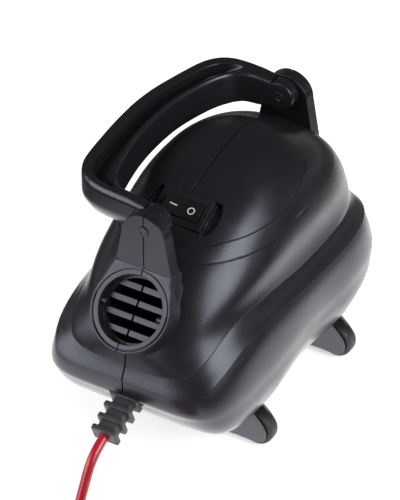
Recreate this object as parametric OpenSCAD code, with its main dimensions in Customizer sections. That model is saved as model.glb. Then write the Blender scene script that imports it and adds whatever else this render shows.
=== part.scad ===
// Compact car dryer blower: two moulded casings split along the middle, a turbine motor inside,
// a tilted hose outlet at the nose, a swing-over carry handle and four swivel casters.
// Origin: on the floor, under the casings' parting line, midway between the casters. +Y is the tail.

/* [Housing] */
// Width across the hips
body_width = 151; // [146:1:160]
// Height of the dome's crown above the floor
body_height = 204; // [202:1:215]
// Reach of the nose in front of the origin
nose_reach = 144; // [142:1:150]
// Reach of the tail behind the origin
tail_reach = 114; // [112:1:125]
// Thickness of the casing walls
wall = 3; // [2.5:0.25:4]
// Depth of the side waist between the casters
waist_depth = 6; // [0:0.5:8]
// Height by which the shoulder line dips at the nose
brow_dip = 20; // [14:1:24]

/* [Outlet] */
// Inside diameter of the hose outlet
outlet_bore = 48; // [44:0.5:50]
// Wall of the outlet collar
outlet_wall = 4; // [3:0.25:4.5]
// Upward tilt of the outlet's axis
outlet_tilt = 38; // [35:0.5:40]
// Height of the outlet mouth's centre above the floor
outlet_height = 144; // [143:0.5:146]
// Distance of the outlet mouth's centre in front of the origin
outlet_reach = 133; // [132:0.5:135]
// Depth of the outlet collar
outlet_depth = 44; // [38:1:50]
// Depth of the finger guard behind the mouth
guard_depth = 9; // [8:0.5:14]
// Width of one guard bar
guard_bar = 4.6; // [3.5:0.1:5.5]
// Thickness of the guard bars along the outlet's axis
guard_thick = 3; // [2:0.25:5]
// Spacing of the guard bars
guard_pitch = 10.5; // [9:0.25:11]
// Step from the hose seat down to the duct behind the guard
duct_step = 1.5; // [1:0.25:3]

/* [Posts] */
// Height of the handle's pivot above the floor
pivot_height = 198.5; // [197.5:0.25:200]
// Front face of the front post in front of the origin
front_post = 114.5; // [114:0.25:116]
// Rear face of the rear post behind the origin
rear_post = 91; // [90:0.5:93]
// Thickness of the posts
post_depth = 10; // [8:0.5:11]
// Radius of the rounded post tops
post_radius = 17.5; // [15:0.5:19]
// Half the width of the posts at the foot
post_foot = 22; // [20:0.5:24]
// Diameter of the pivot pins
pin_diameter = 8; // [6:0.5:9]

/* [Handle] */
// Thickness of the handle across its flat faces
handle_thick = 26; // [22:0.5:27]
// Width of the grip
grip_width = 20; // [16:0.5:22]
// Reach of the grip's centre line from the pivot
grip_reach = 63; // [61:0.5:70]
// Width of the arms and lugs along the pivot
lug_width = 10; // [8:0.5:12]
// Radius of the lugs
lug_radius = 14; // [13.5:0.25:14.5]
// Depth of the channel in the handle's faces
channel_depth = 9; // [5:0.5:11]
// Width of the rim outside the channel
channel_rim = 4.5; // [3:0.5:6]

/* [Switch] */
// Length of the switch frame
switch_length = 40; // [38:0.5:42]
// Width of the switch frame
switch_width = 26; // [24:0.5:27]
// Length of the rocker
rocker_length = 28; // [26:0.5:30]
// Width of the rocker
rocker_width = 14; // [12:0.5:16]
// Travel of the rocker from off to on
rocker_travel = 16; // [12:1:18]
// Tilt of the switch's face towards the nose
switch_tilt = 26; // [24:0.5:28]
// Diameter of the round switch recess
recess_diameter = 56; // [54:0.5:57]
// Depth of the switch recess
recess_depth = 7; // [6:0.5:8]
// Depth of the switch body below its frame
switch_depth = 24; // [20:1:26]

/* [Casters] */
// Diameter of the caster wheels
wheel_diameter = 26; // [24:0.5:28]
// Width of the caster wheels
wheel_width = 11; // [9:0.5:13]
// Distance from the swivel axis to the wheel axle
caster_trail = 14; // [12:0.5:16]
// Half the track between the swivel axes
caster_track = 46; // [45:0.5:48]
// Half the wheelbase between the swivel axes
caster_base = 58; // [56:0.5:60]
// Thickness of the yoke's cheeks
cheek = 2.2; // [1.6:0.1:2.8]
// Diameter of the swivel stems
stem_diameter = 6; // [5:0.25:7]
// Height of the swivel stems above the yoke
stem_height = 13; // [10:0.5:15]
// Diameter of the wheel axles
axle_diameter = 4; // [3:0.25:5]

/* [Motor] */
// Outside diameter of the fan shroud
shroud_diameter = 106; // [102:1:108]
// Length of the fan shroud
shroud_length = 33; // [32:0.5:35]
// Diameter of the air eye in the fan shroud
eye_diameter = 36; // [30:1:40]
// Outside diameter of the motor frame
motor_diameter = 88; // [84:1:90]
// Length of the motor frame
motor_length = 66; // [64:1:68]
// Length of the stator's lamination stack
stack_length = 30; // [26:1:32]
// Gap between the impeller's rim and the fan shroud
impeller_gap = 4.5; // [3:0.5:8]
// Number of impeller blades
blades = 9; // [7:1:11]
// Diameter of the motor shaft
shaft_diameter = 8; // [7:0.5:9]
// Height of the motor's axis above the floor
motor_height = 98; // [96:0.5:100]
// Rear end of the motor frame behind the origin
motor_rear = 46; // [44:0.5:47]

/* [Inlet] */
// Width of the inlet grille at the tail
inlet_width = 68; // [60:1:70]
// Height of the inlet grille
inlet_height = 48; // [42:1:50]
// Height of the inlet grille's centre above the floor
inlet_centre = 80; // [78:0.5:82]
// Number of slots in the inlet grille
inlet_slots = 9; // [7:1:10]
// Thickness of the foam filter
filter_thick = 8; // [6:0.5:10]

/* [Cord] */
// Diameter of the mains cord
cord_diameter = 7.5; // [7:0.1:7.6]
// Length of the strain relief outside the casing
relief_length = 33; // [30:0.5:36]
// Width of the strain relief at its root
relief_width = 22; // [20:0.5:24]
// Height of the strain relief at its root
relief_height = 16; // [14:0.5:17]
// Number of flanges on the strain relief
flanges = 4; // [3:1:5]
// Thickness of the strain relief's flanges
flange_thick = 4; // [3:0.25:4.5]
// Height of the strain relief's axis where it leaves the nose
relief_centre = 69.5; // [69:0.5:72]
// Downward tilt of the strain relief
relief_tilt = 22; // [20:0.5:24]

/* [Fits] */
// Gap between parts that move past each other
gap = 0.4; // [0.3:0.05:0.5]
// Gap all round a shaft or pin that turns in its bore
running = 0.05; // [0.03:0.01:0.1]
// Gap all round a part that sits fixed in its seat
seat = 0.05; // [0.02:0.01:0.1]

/* [Hidden] */
$fn = 64;

casing_black = [0.07, 0.07, 0.08];
switch_black = [0.04, 0.04, 0.045];
yoke_grey = [0.2, 0.2, 0.21];
tyre_black = [0.05, 0.05, 0.05];
relief_black = [0.12, 0.12, 0.13];
cord_red = [0.75, 0.08, 0.1];
steel = [0.72, 0.73, 0.75];
brass = [0.8, 0.65, 0.3];
copper = [0.72, 0.42, 0.2];
foam_grey = [0.3, 0.3, 0.32];
fan_white = [0.85, 0.85, 0.82];

// Casters and the casings' underside
wheel_r = wheel_diameter / 2;
crown_thick = 2.6;
yoke_top = wheel_diameter + 1 + crown_thick;
underside = yoke_top + gap;

// Outlet, posts and handle
collar_r = outlet_bore / 2 + outlet_wall;
shelf = collar_r + 1;
shelf_low = 8;
post_top = pivot_height + 12;
post_step = 167;
post_root = 150;
front_lug_y = gap + post_depth + lug_width - front_post;
rear_lug_y = rear_post - post_depth - gap;
pin_proud = 0.8;

// Switch
switch_y = -62.5;
switch_z = 184.6;
flange_plate = 2.5;
hinge_depth = 2.2;
opening_l = rocker_length + 2.4;
opening_w = rocker_width + 2 * gap;
switch_body_l = opening_l + 3.6;
switch_body_w = opening_w + 4;
terminal_w = 6.3;
terminal_t = 0.8;
terminal_out = 8;
terminal_pitch = 9;

// Screws that join the casings: distance behind the origin and height
screws = [[-104, 48], [0, 41], [86, 45], [88, 140], [44, 166], [-14, 174]];
boss_r = 5;
screw_r = 1.75;
head_r = 3.8;
head_seat = 12;
screw_grip = 12;

// Casters
socket_r = stem_diameter / 2 + 2;
cheek_in = wheel_width / 2 + gap;
cheek_r = wheel_r - 3.3;
caster_places = [[-1, -1], [1, -1], [-1, 1], [1, 1]];

// Motor, fan and their mounts, along the motor's axis
frame_wall = 2.5;
shroud_wall = 2.5;
motor_front = motor_rear - motor_length;
shaft_r = shaft_diameter / 2;
bearing_ring = 7;
bearing_r = shaft_r + bearing_ring;
bearing_w = 7;
bearing_seat = 3;
stack_rear = motor_rear - 12;
stack_front = stack_rear - stack_length;
stator_r = motor_diameter / 2 - frame_wall - seat;
armature_r = 23.5;
air_gap = 0.6;
end_turn = 5.5;
commutator_r = 11;
commutator_l = 10;
commutator_rear = stack_front - end_turn - gap;
brush_y = commutator_rear - commutator_l / 2;
brush_w = 5;
brush_h = 8;
brush_out = 16;
diffuser_plate = 3;
vane_h = 6;
impeller_diameter = shroud_diameter - 2 * (shroud_wall + impeller_gap);
impeller_y = motor_rear + diffuser_plate + vane_h + 2;
impeller_h = 15;
shroud_rear = motor_rear + shroud_length;
shaft_rear = shroud_rear + 2;
shaft_front = motor_front - 8;
nut_flats = 13;
nut_h = 5;
rear_rubber = 6;
mount_r = shroud_diameter / 2 + rear_rubber;
mount_groove = 2;
mount_l = 9;
bulkhead_y = motor_rear + 17;
boss_wall = 3;
front_boss_r = bearing_r + boss_wall;
front_rubber = 7;
front_mount_r = front_boss_r + front_rubber;
front_mount_y = motor_front - bearing_w;
cradle = 24;

// Inlet
filter_y = 99;
inlet_lip = 4;
slot_w = 4;

// Cord, strain relief and clamp
cord_r = cord_diameter / 2;
relief_y = -138;
neck_long = 4;
neck_wide = 14;
neck_tall = 10;
lip_thick = 3;
clamp_deep = 20;
clamp_long = 12;
clamp_wide = 24;
clamp_screw = 8;
clamp_grip = 10;
clamp_thick = 8;
lead_r = 1.4;
coil_base = 5;
coil_start_y = -260;
relief_end = [0, relief_y - relief_length * cos(relief_tilt), relief_centre - relief_length * sin(relief_tilt)];
relief_way = [0, -cos(relief_tilt), -sin(relief_tilt)];

// Rows of the housing's form, from the underside to the crown. Each holds the share of the
// height, of the half width, of the nose's reach and of the tail's reach, the squareness of
// the outline at the nose and at the tail, and the share of the brow's dip.
rows = [
    [0.000, 0.80, 0.71, 0.76, 6.5, 4.0, 0.0],
    [0.055, 0.88, 0.78, 0.88, 7.5, 4.2, 0.0],
    [0.115, 0.94, 0.86, 0.94, 8.5, 4.4, 0.0],
    [0.175, 0.98, 0.92, 0.98, 7.5, 4.5, 0.0],
    [0.235, 0.99, 0.96, 1.00, 7.0, 4.5, 0.1],
    [0.300, 1.00, 0.99, 1.00, 6.5, 4.5, 0.4],
    [0.385, 0.97, 1.00, 0.97, 6.5, 4.5, 0.9],
    [0.450, 0.93, 1.00, 0.94, 6.0, 4.2, 1.0],
    [0.515, 0.86, 0.98, 0.89, 5.0, 3.8, 1.0],
    [0.600, 0.82, 0.95, 0.89, 3.5, 3.5, 0.9],
    [0.690, 0.82, 0.86, 0.86, 3.0, 3.0, 0.6],
    [0.775, 0.78, 0.71, 0.78, 2.5, 2.8, 0.2],
    [0.850, 0.71, 0.54, 0.66, 2.3, 2.5, 0.0],
    [0.915, 0.58, 0.38, 0.48, 2.2, 2.3, 0.0],
    [0.960, 0.42, 0.22, 0.37, 2.1, 2.1, 0.0],
    [0.990, 0.22, 0.03, 0.27, 2.0, 2.0, 0.0],
];
crown_y = 18;
sole_y = 0;
steps = 2;
columns = 20;

function spline(a, b, c, d, t) =
    0.5 * (2 * b + (c - a) * t + (2 * a - 5 * b + 4 * c - d) * t * t
        + (3 * b - a - 3 * c + d) * t * t * t);
function pick(i) = rows[max(0, min(len(rows) - 1, i))];
function row_at(v) = let (i = floor(v), t = v - i)
    t < 0.001 ? pick(i) : spline(pick(i - 1), pick(i), pick(i + 1), pick(i + 2), t);
function bell(y) = abs(y) < caster_base ? (1 + cos(180 * y / caster_base)) / 2 : 0;

// A point of the housing's skin: v counts rows upwards, a turns from the nose (0) to the tail.
function skin_point(v, a, inset) =
    let (r = row_at(v),
         ahead = cos(a) > 0,
         e = 2 / (ahead ? r[4] : r[5]),
         side = r[1] * body_width / 2 - inset,
         reach = ahead ? inset - r[2] * nose_reach : r[3] * tail_reach - inset,
         y = reach * pow(abs(cos(a)), e),
         x = side * pow(abs(sin(a)), e) - waist_depth * bell(y) * max(0, 1 - 2.5 * r[0]) * sin(a),
         z = underside + inset + r[0] * (body_height - underside - 2 * inset),
         dip = brow_dip * r[6] * pow(max(0, cos(a)), 1.5))
    [x, y, z - dip];

rings = (len(rows) - 1) * steps + 1;
function ring_index(i, j) = 1 + i * (columns + 1) + j;

// One half of the skin as a grid: the sole's centre, the rings and the crown.
function skin_grid(inset) = concat(
    [[0, sole_y, underside + inset]],
    [for (i = [0 : rings - 1], j = [0 : columns]) skin_point(i / steps, 180 * j / columns, inset)],
    [[0, crown_y, body_height - inset]]);
function skin_faces(first) = let (top = 1 + rings * (columns + 1)) concat(
    [for (j = [0 : columns - 1]) [0, ring_index(0, j), ring_index(0, j + 1)] + [1, 1, 1] * first],
    [for (i = [0 : rings - 2], j = [0 : columns - 1])
        [ring_index(i, j), ring_index(i + 1, j), ring_index(i + 1, j + 1)] + [1, 1, 1] * first],
    [for (i = [0 : rings - 2], j = [0 : columns - 1])
        [ring_index(i, j), ring_index(i + 1, j + 1), ring_index(i, j + 1)] + [1, 1, 1] * first],
    [for (j = [0 : columns - 1])
        [top, ring_index(rings - 1, j + 1), ring_index(rings - 1, j)] + [1, 1, 1] * first]);
function reversed(a) = [for (i = [len(a) - 1 : -1 : 0]) a[i]];
function flipped(faces) = [for (f = faces) [f[0], f[2], f[1]]];
// The closed outline that the skin draws on the parting plane.
function seam_loop(first) = concat(
    [first], [for (i = [0 : rings - 1]) first + ring_index(i, 0)],
    [first + 1 + rings * (columns + 1)],
    [for (i = [rings - 1 : -1 : 0]) first + ring_index(i, columns)]);

// The right half of the housing as a solid whose skin lies inset below the real one.
module skin_half(inset) {
    polyhedron(skin_grid(inset), concat(skin_faces(0), [reversed(seam_loop(0))]));
}

// The right half of the shell, with its wall thickness.
module shell_half() {
    outer = skin_grid(0);
    inner = skin_grid(wall);
    n = len(outer);
    a = seam_loop(0);
    b = seam_loop(n);
    m = len(a);
    polyhedron(concat(outer, inner), concat(skin_faces(0), flipped(skin_faces(n)),
        [for (k = [0 : m - 1]) [a[k], b[(k + 1) % m], a[(k + 1) % m]]],
        [for (k = [0 : m - 1]) [a[k], b[k], b[(k + 1) % m]]]));
}

// Places that several pieces share
module at_outlet() translate([0, -outlet_reach, outlet_height]) rotate([90 - outlet_tilt, 0, 0]) children();
module at_switch() translate([0, switch_y, switch_z]) rotate([switch_tilt, 0, 0]) children();
module at_relief() translate([0, relief_y, relief_centre]) rotate([90 + relief_tilt, 0, 0]) children();
module at_motor(y) translate([0, y, motor_height]) rotate([-90, 0, 0]) children();
module at_pivot(y) translate([0, y, pivot_height]) rotate([-90, 0, 0]) children();
module along_x(y, z) translate([0, y, z]) rotate([0, 90, 0]) children();
module ring(r_out, r_in, h) difference() {
    cylinder(r = r_out, h = h);
    translate([0, 0, -1]) cylinder(r = r_in, h = h + 2);
}
module slab(y, depth, z0, z1) translate([0, y, z0]) cube([body_width, depth, z1 - z0]);

// The moulded collar round the outlet, with the shelf that carries the front post
module collar() at_outlet() translate([0, 0, -outlet_depth]) linear_extrude(outlet_depth) {
    circle(r = collar_r);
    polygon([[-collar_r + 1.2, shelf_low], [collar_r - 1.2, shelf_low], [post_foot, shelf], [-post_foot, shelf]]);
}
module outlet_cut() at_outlet() {
    translate([0, 0, -outlet_depth - 3]) cylinder(d = outlet_bore - 2 * duct_step, h = outlet_depth + 10);
    translate([0, 0, -guard_depth]) cylinder(d = outlet_bore, h = guard_depth + 10);
}
module guard() at_outlet() intersection() {
    translate([0, 0, -guard_depth - guard_thick]) cylinder(r = outlet_bore / 2 + 1, h = guard_thick);
    for (i = [-1.5 : 1.5]) translate([0, i * guard_pitch, -guard_depth - guard_thick / 2])
        cube([outlet_bore + 4, guard_bar, 2 * guard_thick], center = true);
}

// A post: a plate with a round top, split between the casings
module post(y) translate([0, y + post_depth, 0]) rotate([90, 0, 0]) linear_extrude(post_depth) {
    translate([0, post_top - post_radius]) circle(r = post_radius);
    polygon([[-post_radius, post_top - post_radius], [post_radius, post_top - post_radius],
        [post_foot, post_step], [post_foot, post_root], [-post_foot, post_root], [-post_foot, post_step]]);
}

// The round switch recess between two straight edges
module pocket_outline(grow) intersection() {
    circle(d = recess_diameter + 2 * grow);
    square([recess_diameter + 2 * grow, switch_width + 1 + 2 * grow], center = true);
}
module pocket_cut() at_switch() {
    translate([0, 0, -flange_plate]) linear_extrude(30) pocket_outline(0);
    translate([0, 0, -recess_depth]) linear_extrude(30) difference() {
        pocket_outline(0);
        square([switch_length + gap, 2 * switch_width], center = true);
    }
    translate([0, 0, -40]) linear_extrude(60)
        square([switch_body_l + 2 * seat, switch_body_w + 2 * seat], center = true);
}

// Ribs, bosses and seats inside one casing half
module internals(heads) {
    for (s = screws) along_x(s[0], s[1]) cylinder(r = boss_r, h = body_width);
    for (side = [-1, 1]) translate([caster_track, side * caster_base, underside])
        cylinder(r = socket_r + 3, h = stem_height + 5);
    at_switch() translate([0, 0, -recess_depth - wall]) linear_extrude(recess_depth + wall + 8) pocket_outline(wall);
    difference() {
        slab(bulkhead_y, wall, 0, body_height);
        at_motor(bulkhead_y - 1) cylinder(r = mount_r - mount_groove + seat, h = wall + 2);
    }
    difference() {
        slab(front_mount_y + 2, wall, motor_height - cradle / 2, motor_height + cradle / 2);
        at_motor(front_mount_y) cylinder(r = front_mount_r + seat, h = wall + 4);
    }
    difference() {
        slab(filter_y - wall, wall, inlet_centre - inlet_height, inlet_centre + inlet_height * 0.9);
        translate([-1, filter_y - wall - 1, inlet_centre - inlet_height / 2 + inlet_lip])
            cube([inlet_width / 2 - inlet_lip + 1, wall + 2, inlet_height - 2 * inlet_lip]);
    }
    at_relief() translate([-1, -relief_height / 2 - 4, -neck_long]) cube([relief_width / 2 + 5, relief_height + 8, neck_long]);
    if (!heads) at_relief() translate([0, -clamp_wide / 2, -clamp_deep - clamp_long]) cube([body_width, clamp_wide, clamp_long]);
}
module casing_cuts(heads) {
    outlet_cut();
    pocket_cut();
    for (side = [-1, 1]) translate([caster_track, side * caster_base, underside - 1])
        cylinder(r = socket_r + seat, h = stem_height + 3);
    for (s = screws) along_x(s[0], s[1]) {
        if (heads) {
            translate([0, 0, -1]) cylinder(r = screw_r + 0.35, h = head_seat + 2);
            translate([0, 0, head_seat]) cylinder(r = head_r + 0.4, h = body_width);
        }
        if (!heads) translate([0, 0, -1]) cylinder(r = screw_r + seat, h = screw_grip + 1.5);
    }
    for (y = [-front_post - 2, rear_post - post_depth - 2]) at_pivot(y)
        cylinder(r = pin_diameter / 2 + seat, h = post_depth + 4);
    translate([-1, filter_y, inlet_centre - inlet_height / 2]) cube([inlet_width / 2 + 1, 60, inlet_height]);
    at_relief() {
        linear_extrude(20) square([relief_width + 1, relief_height + 1], center = true);
        translate([0, 0, -neck_long - 2]) linear_extrude(neck_long + 4)
            square([neck_wide + 2 * seat, neck_tall + 2 * seat], center = true);
        translate([0, 0, -neck_long - lip_thick - gap]) linear_extrude(lip_thick + gap)
            square([neck_wide + 6, neck_tall + 6], center = true);
    }
}
module clamp_cuts() {
    at_relief() {
        translate([0, 0, -80]) cylinder(r = cord_r + seat, h = 76);
        for (v = [-1, 1]) translate([-1, v * clamp_screw, -clamp_deep - clamp_long / 2])
            rotate([0, 90, 0]) cylinder(r = screw_r + seat, h = clamp_grip + 2);
    }
}
module casing_half(heads) {
    difference() {
        union() {
            shell_half();
            intersection() {
                skin_half(1);
                internals(heads);
            }
            intersection() {
                translate([0, -300, 0]) cube([200, 600, 300]);
                union() {
                    collar();
                    post(-front_post);
                    post(rear_post - post_depth);
                }
            }
        }
        casing_cuts(heads);
        if (!heads) clamp_cuts();
    }
    intersection() {
        translate([0, -300, 0]) cube([200, 600, 300]);
        guard();
    }
}

module right_casing() color(casing_black) casing_half(false);
module left_casing() color(casing_black) mirror([1, 0, 0]) casing_half(true);
module casing_screws() color(steel) for (s = screws) along_x(s[0], s[1]) {
    translate([0, 0, -head_seat]) cylinder(r = screw_r, h = head_seat + screw_grip);
    translate([0, 0, -head_seat - 2.5]) cylinder(r = head_r, h = 2.5);
}

// Carry handle: rows of reach share, place between the lugs (-1 to 1), share of the grip's
// width, share of the channel's depth and share of the thickness
grip_rows = [
    [0.11, -1.00, 0.0, 0.0, 0.88],
    [0.29, -0.99, 0.1, 0.0, 1.0],
    [0.48, -0.96, 0.2, 0.0, 1.0],
    [0.67, -0.94, 0.4, 0.0, 1.0],
    [0.83, -0.91, 0.7, 0.1, 1.0],
    [0.91, -0.80, 1.0, 0.8, 1.0],
    [0.93, -0.64, 1.1, 1.0, 1.0],
    [0.96, -0.39, 1.0, 1.0, 1.0],
    [1.00, -0.09, 0.8, 1.0, 1.0],
    [1.00, 0.13, 0.8, 1.0, 1.0],
    [0.97, 0.33, 0.9, 1.0, 1.0],
    [0.91, 0.51, 0.9, 1.0, 1.0],
    [0.84, 0.68, 1.0, 1.0, 1.0],
    [0.79, 0.83, 1.0, 0.9, 1.0],
    [0.70, 0.94, 0.8, 0.5, 1.0],
    [0.50, 0.99, 0.4, 0.0, 1.0],
    [0.29, 0.99, 0.1, 0.0, 1.0],
    [0.11, 1.00, 0.0, 0.0, 0.88],
];
grip_steps = 2;
handle_round = 3.5;
channel_lean = 0.6;
grip_count = (len(grip_rows) - 1) * grip_steps + 1;
lug_mid = [front_lug_y - lug_width / 2, rear_lug_y - lug_width / 2];
function grip_pick(i) = grip_rows[max(0, min(len(grip_rows) - 1, i))];
function grip_row(v) = let (i = floor(v), t = v - i)
    t < 0.001 ? grip_pick(i) : spline(grip_pick(i - 1), grip_pick(i), grip_pick(i + 1), grip_pick(i + 2), t);
function grip_centre(v) = let (g = grip_row(v))
    [-grip_reach * g[0], (lug_mid[0] + lug_mid[1]) / 2 + g[1] * (lug_mid[1] - lug_mid[0]) / 2];
function unit(a) = a / norm(a);
function clamped(a) = max(0, min(1, a));
// The handle's section at a row: n runs outwards, z across the flat faces
function grip_section(v) =
    let (g = grip_row(v),
         c = grip_centre(v),
         last = len(grip_rows) - 1,
         along = unit(grip_centre(min(last, v + 0.1)) - grip_centre(max(0, v - 0.1))),
         out = [-along[1], along[0]] * (along[1] * 0 - 1),
         w = (lug_width + (grip_width - lug_width) * max(0, g[2])) / 2,
         t = handle_thick / 2 * clamped(g[4]),
         r = handle_round,
         d = channel_depth * clamped(g[3]),
         rim = min(channel_rim, w - 1),
         lean = channel_lean,
         shape = [[w, r - t], [w, t - r], [w - 0.3 * r, t - 0.3 * r], [w - 0.8 * r, t],
             [w - rim - lean, t], [w - rim - 2 * lean, t - d], [w - rim - 5 * lean, t - d], [r - w, t - 0.15 * d],
             [0.3 * r - w, t - 0.3 * r - 0.1 * d], [-w, t - r], [-w, r - t],
             [0.3 * r - w, 0.3 * r - t], [r - w, -t], [w - r, -t], [w - 0.3 * r, 0.3 * r - t]])
    [for (p = shape) [c[0] + out[0] * p[0], c[1] + out[1] * p[0], pivot_height + p[1]]];
// Triangles that close a row of rings, each ring having m points
function tube_faces(rings, m) = concat(
    [for (i = [0 : rings - 2], j = [0 : m - 1])
        [i * m + j, i * m + (j + 1) % m, (i + 1) * m + (j + 1) % m]],
    [for (i = [0 : rings - 2], j = [0 : m - 1])
        [i * m + j, (i + 1) * m + (j + 1) % m, (i + 1) * m + j]],
    [[for (j = [m - 1 : -1 : 0]) j]],
    [[for (j = [0 : m - 1]) (rings - 1) * m + j]]);
module carry_handle() color(casing_black) difference() {
    union() {
        polyhedron([for (i = [0 : grip_count - 1]) each grip_section(i / grip_steps)],
            tube_faces(grip_count, 15));
        for (y = [front_lug_y, rear_lug_y]) at_pivot(y - lug_width) cylinder(r = lug_radius, h = lug_width);
    }
    for (y = [front_lug_y, rear_lug_y]) at_pivot(y - lug_width - 1)
        cylinder(r = pin_diameter / 2 + running, h = lug_width + 2);
}
module handle_pins() color(steel) {
    at_pivot(-front_post - pin_proud) cylinder(d = pin_diameter, h = post_depth + lug_width + gap + 2 * pin_proud);
    at_pivot(rear_lug_y - lug_width - pin_proud)
        cylinder(d = pin_diameter, h = post_depth + lug_width + gap + 2 * pin_proud);
}

// Rocker switch
module switch_frame() color(switch_black) at_switch() difference() {
    union() {
        translate([0, 0, -flange_plate]) linear_extrude(flange_plate + 1.2)
            square([switch_length, switch_width], center = true);
        translate([0, 0, -flange_plate - switch_depth]) linear_extrude(switch_depth)
            square([switch_body_l, switch_body_w], center = true);
    }
    translate([0, 0, 2 - flange_plate - switch_depth]) linear_extrude(switch_depth + 10)
        square([opening_l, opening_w], center = true);
    translate([0, 0, -hinge_depth]) rotate([90, 0, 0])
        cylinder(r = 1.5 + running, h = opening_w + 2.4, center = true);
    for (x = [-1, 0, 1]) translate([x * terminal_pitch, 0, -flange_plate - switch_depth - 1]) linear_extrude(4)
        square([terminal_t + 2 * seat, terminal_w + 2 * seat], center = true);
}
module switch_rocker() color(switch_black) at_switch() translate([0, 0, -hinge_depth])
    rotate([90, rocker_travel / 2, 0]) {
        linear_extrude(rocker_width, center = true) polygon([
            [-rocker_length / 2, 5.4], [-rocker_length / 4, 4.2], [0, 3.8], [rocker_length / 4, 4.2],
            [rocker_length / 2, 5.4], [rocker_length / 2, -1.5], [5, -8], [-5, -8], [-rocker_length / 2, -1.5]]);
        cylinder(r = 1.5, h = opening_w + 2.2, center = true);
    }
module switch_terminals() color(brass) at_switch() for (x = [-1, 0, 1])
    translate([x * terminal_pitch, 0, -flange_plate - switch_depth - terminal_out]) linear_extrude(terminal_out + 5)
        square([terminal_t, terminal_w], center = true);

// Strain relief, cord and clamp
module strain_relief() color(relief_black) at_relief() {
    translate([0, 0, -neck_long - lip_thick]) linear_extrude(lip_thick)
        square([neck_wide + 4, neck_tall + 4], center = true);
    translate([0, 0, -neck_long]) linear_extrude(neck_long + relief_length)
        square([neck_wide, neck_tall], center = true);
    for (i = [0 : flanges - 1])
        let (far = i / (flanges - 1), s = 1 - 0.1 * far)
            translate([0, 0, far * (relief_length - flange_thick)]) linear_extrude(flange_thick)
                square([relief_width * s, relief_height * s], center = true);
}
module inner_cord() color(cord_red) at_relief()
    translate([0, 0, -clamp_deep - clamp_long - 12])
        cylinder(r = cord_r, h = clamp_deep + clamp_long + 12 - neck_long - lip_thick);
module cord_clamp() color(relief_black) at_relief() difference() {
    translate([-clamp_thick, -clamp_wide / 2, -clamp_deep - clamp_long])
        cube([clamp_thick - 0.3, clamp_wide, clamp_long]);
    translate([0, 0, -80]) cylinder(r = cord_r + seat, h = 76);
    for (v = [-1, 1]) translate([-clamp_thick - 1, v * clamp_screw, -clamp_deep - clamp_long / 2])
        rotate([0, 90, 0]) cylinder(r = screw_r + 0.2, h = clamp_thick + 2);
}
module clamp_screws() color(steel) at_relief() for (v = [-1, 1])
    translate([-clamp_thick, v * clamp_screw, -clamp_deep - clamp_long / 2]) rotate([0, 90, 0]) {
        cylinder(r = screw_r, h = clamp_thick + clamp_grip);
        translate([0, 0, -2.2]) cylinder(r = head_r - 0.6, h = 2.2);
    }

// A tube swept along points, square at both ends
function way(points, i) = unit(points[min(len(points) - 1, i + 1)] - points[max(0, i - 1)]);
function tube_ring(c, t, r, m) = let (a = unit(cross(t, [0, 0, 1])), b = cross(a, t))
    [for (j = [0 : m - 1]) c + r * (cos(360 * j / m) * b - sin(360 * j / m) * a)];
module tube(points, r, m) polyhedron(
    [for (i = [0 : len(points) - 1]) each tube_ring(points[i], way(points, i), r, m)],
    tube_faces(len(points), m));

// The cord's free stretch, from the strain relief down to the floor and along it: how far each
// point lies ahead of the relief's end, and the share of the drop that is still below it
cord_fall = [[11.9, 0.900], [16.4, 0.836], [20.2, 0.761], [22.7, 0.690], [28.7, 0.495], [34.7, 0.300],
    [38.6, 0.199], [43.6, 0.114], [49.4, 0.051], [55.8, 0.013], [62.4, 0], [69.4, 0.002]];
cord_lies = cord_r + seat;
cord_route = concat([relief_end, relief_end + cord_diameter * relief_way],
    [for (f = cord_fall) [0, relief_end[1] - f[0], cord_lies + f[1] * (relief_end[2] - cord_lies)]],
    [[0, -245, coil_base - 0.5], [0, -252, coil_base], [0, coil_start_y, coil_base]]);
module mains_cord() color(cord_red) tube(cord_route, cord_r, 8);

// The rest of the cord: loops that spiral in and out in layers, each a pitch above the last
coil_centre = [62, -268];
coil_turns = 17;
coil_layers = 4;
coil_mean = 45;
coil_pitch = 8;
per_loop = 24;
per_layer = coil_turns / coil_layers;
coil_out = coil_mean + coil_pitch * per_layer / 2;
function coil_layer(t) = let (k = min(coil_layers - 1, floor(t / per_layer)), u = t - k * per_layer)
    k + (u > per_layer - 0.25 && k < coil_layers - 1 ? ease((u - per_layer + 0.25) * 2)
        : u < 0.25 && k > 0 ? ease(0.5 + u * 2) - 1 : 0);
function ease(a) = (1 - cos(180 * a)) / 2;
function coil_radius(t) = let (k = min(coil_layers - 1, floor(t / per_layer)), u = t - k * per_layer)
    coil_out - coil_pitch * (k % 2 == 0 ? u : per_layer - u);
function coil_point(t) = [coil_centre[0], coil_centre[1], 0]
    + [coil_radius(t) * cos(180 + 360 * t), coil_radius(t) * sin(180 + 360 * t),
        coil_base + coil_pitch * coil_layer(t)];
coil_wound = [for (i = [0 : coil_turns * per_loop]) coil_point(i / per_loop)];
coil_last = coil_wound[len(coil_wound) - 1];
plug_r = 18;
plug_long = 46;
pin_long = 19;
pin_thick = 4.8;
pin_spread = 9.5;
tail_drop = coil_last[2] - plug_r;
tail_run = 42;
coil_tail = [for (i = [0 : 6]) coil_last + [0, -10 - tail_run * i / 6, -tail_drop * ease(i / 6)]];
plug_start = coil_last + [0, -10 - tail_run - cord_diameter, -tail_drop];
coil_points = concat([[0, coil_start_y, coil_base]], coil_wound, coil_tail, [plug_start]);
coil_room = min([for (i = [0 : len(coil_wound) - 1], j = [i + per_loop / 2 : min(len(coil_wound) - 1,
    i + 2 * coil_layers * per_loop)]) norm(coil_wound[i] - coil_wound[j])]) - cord_diameter;
coil_length = [for (i = [1 : len(coil_points) - 1]) norm(coil_points[i] - coil_points[i - 1])];
free_length = [for (i = [1 : len(cord_route) - 1]) norm(cord_route[i] - cord_route[i - 1])];
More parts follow.
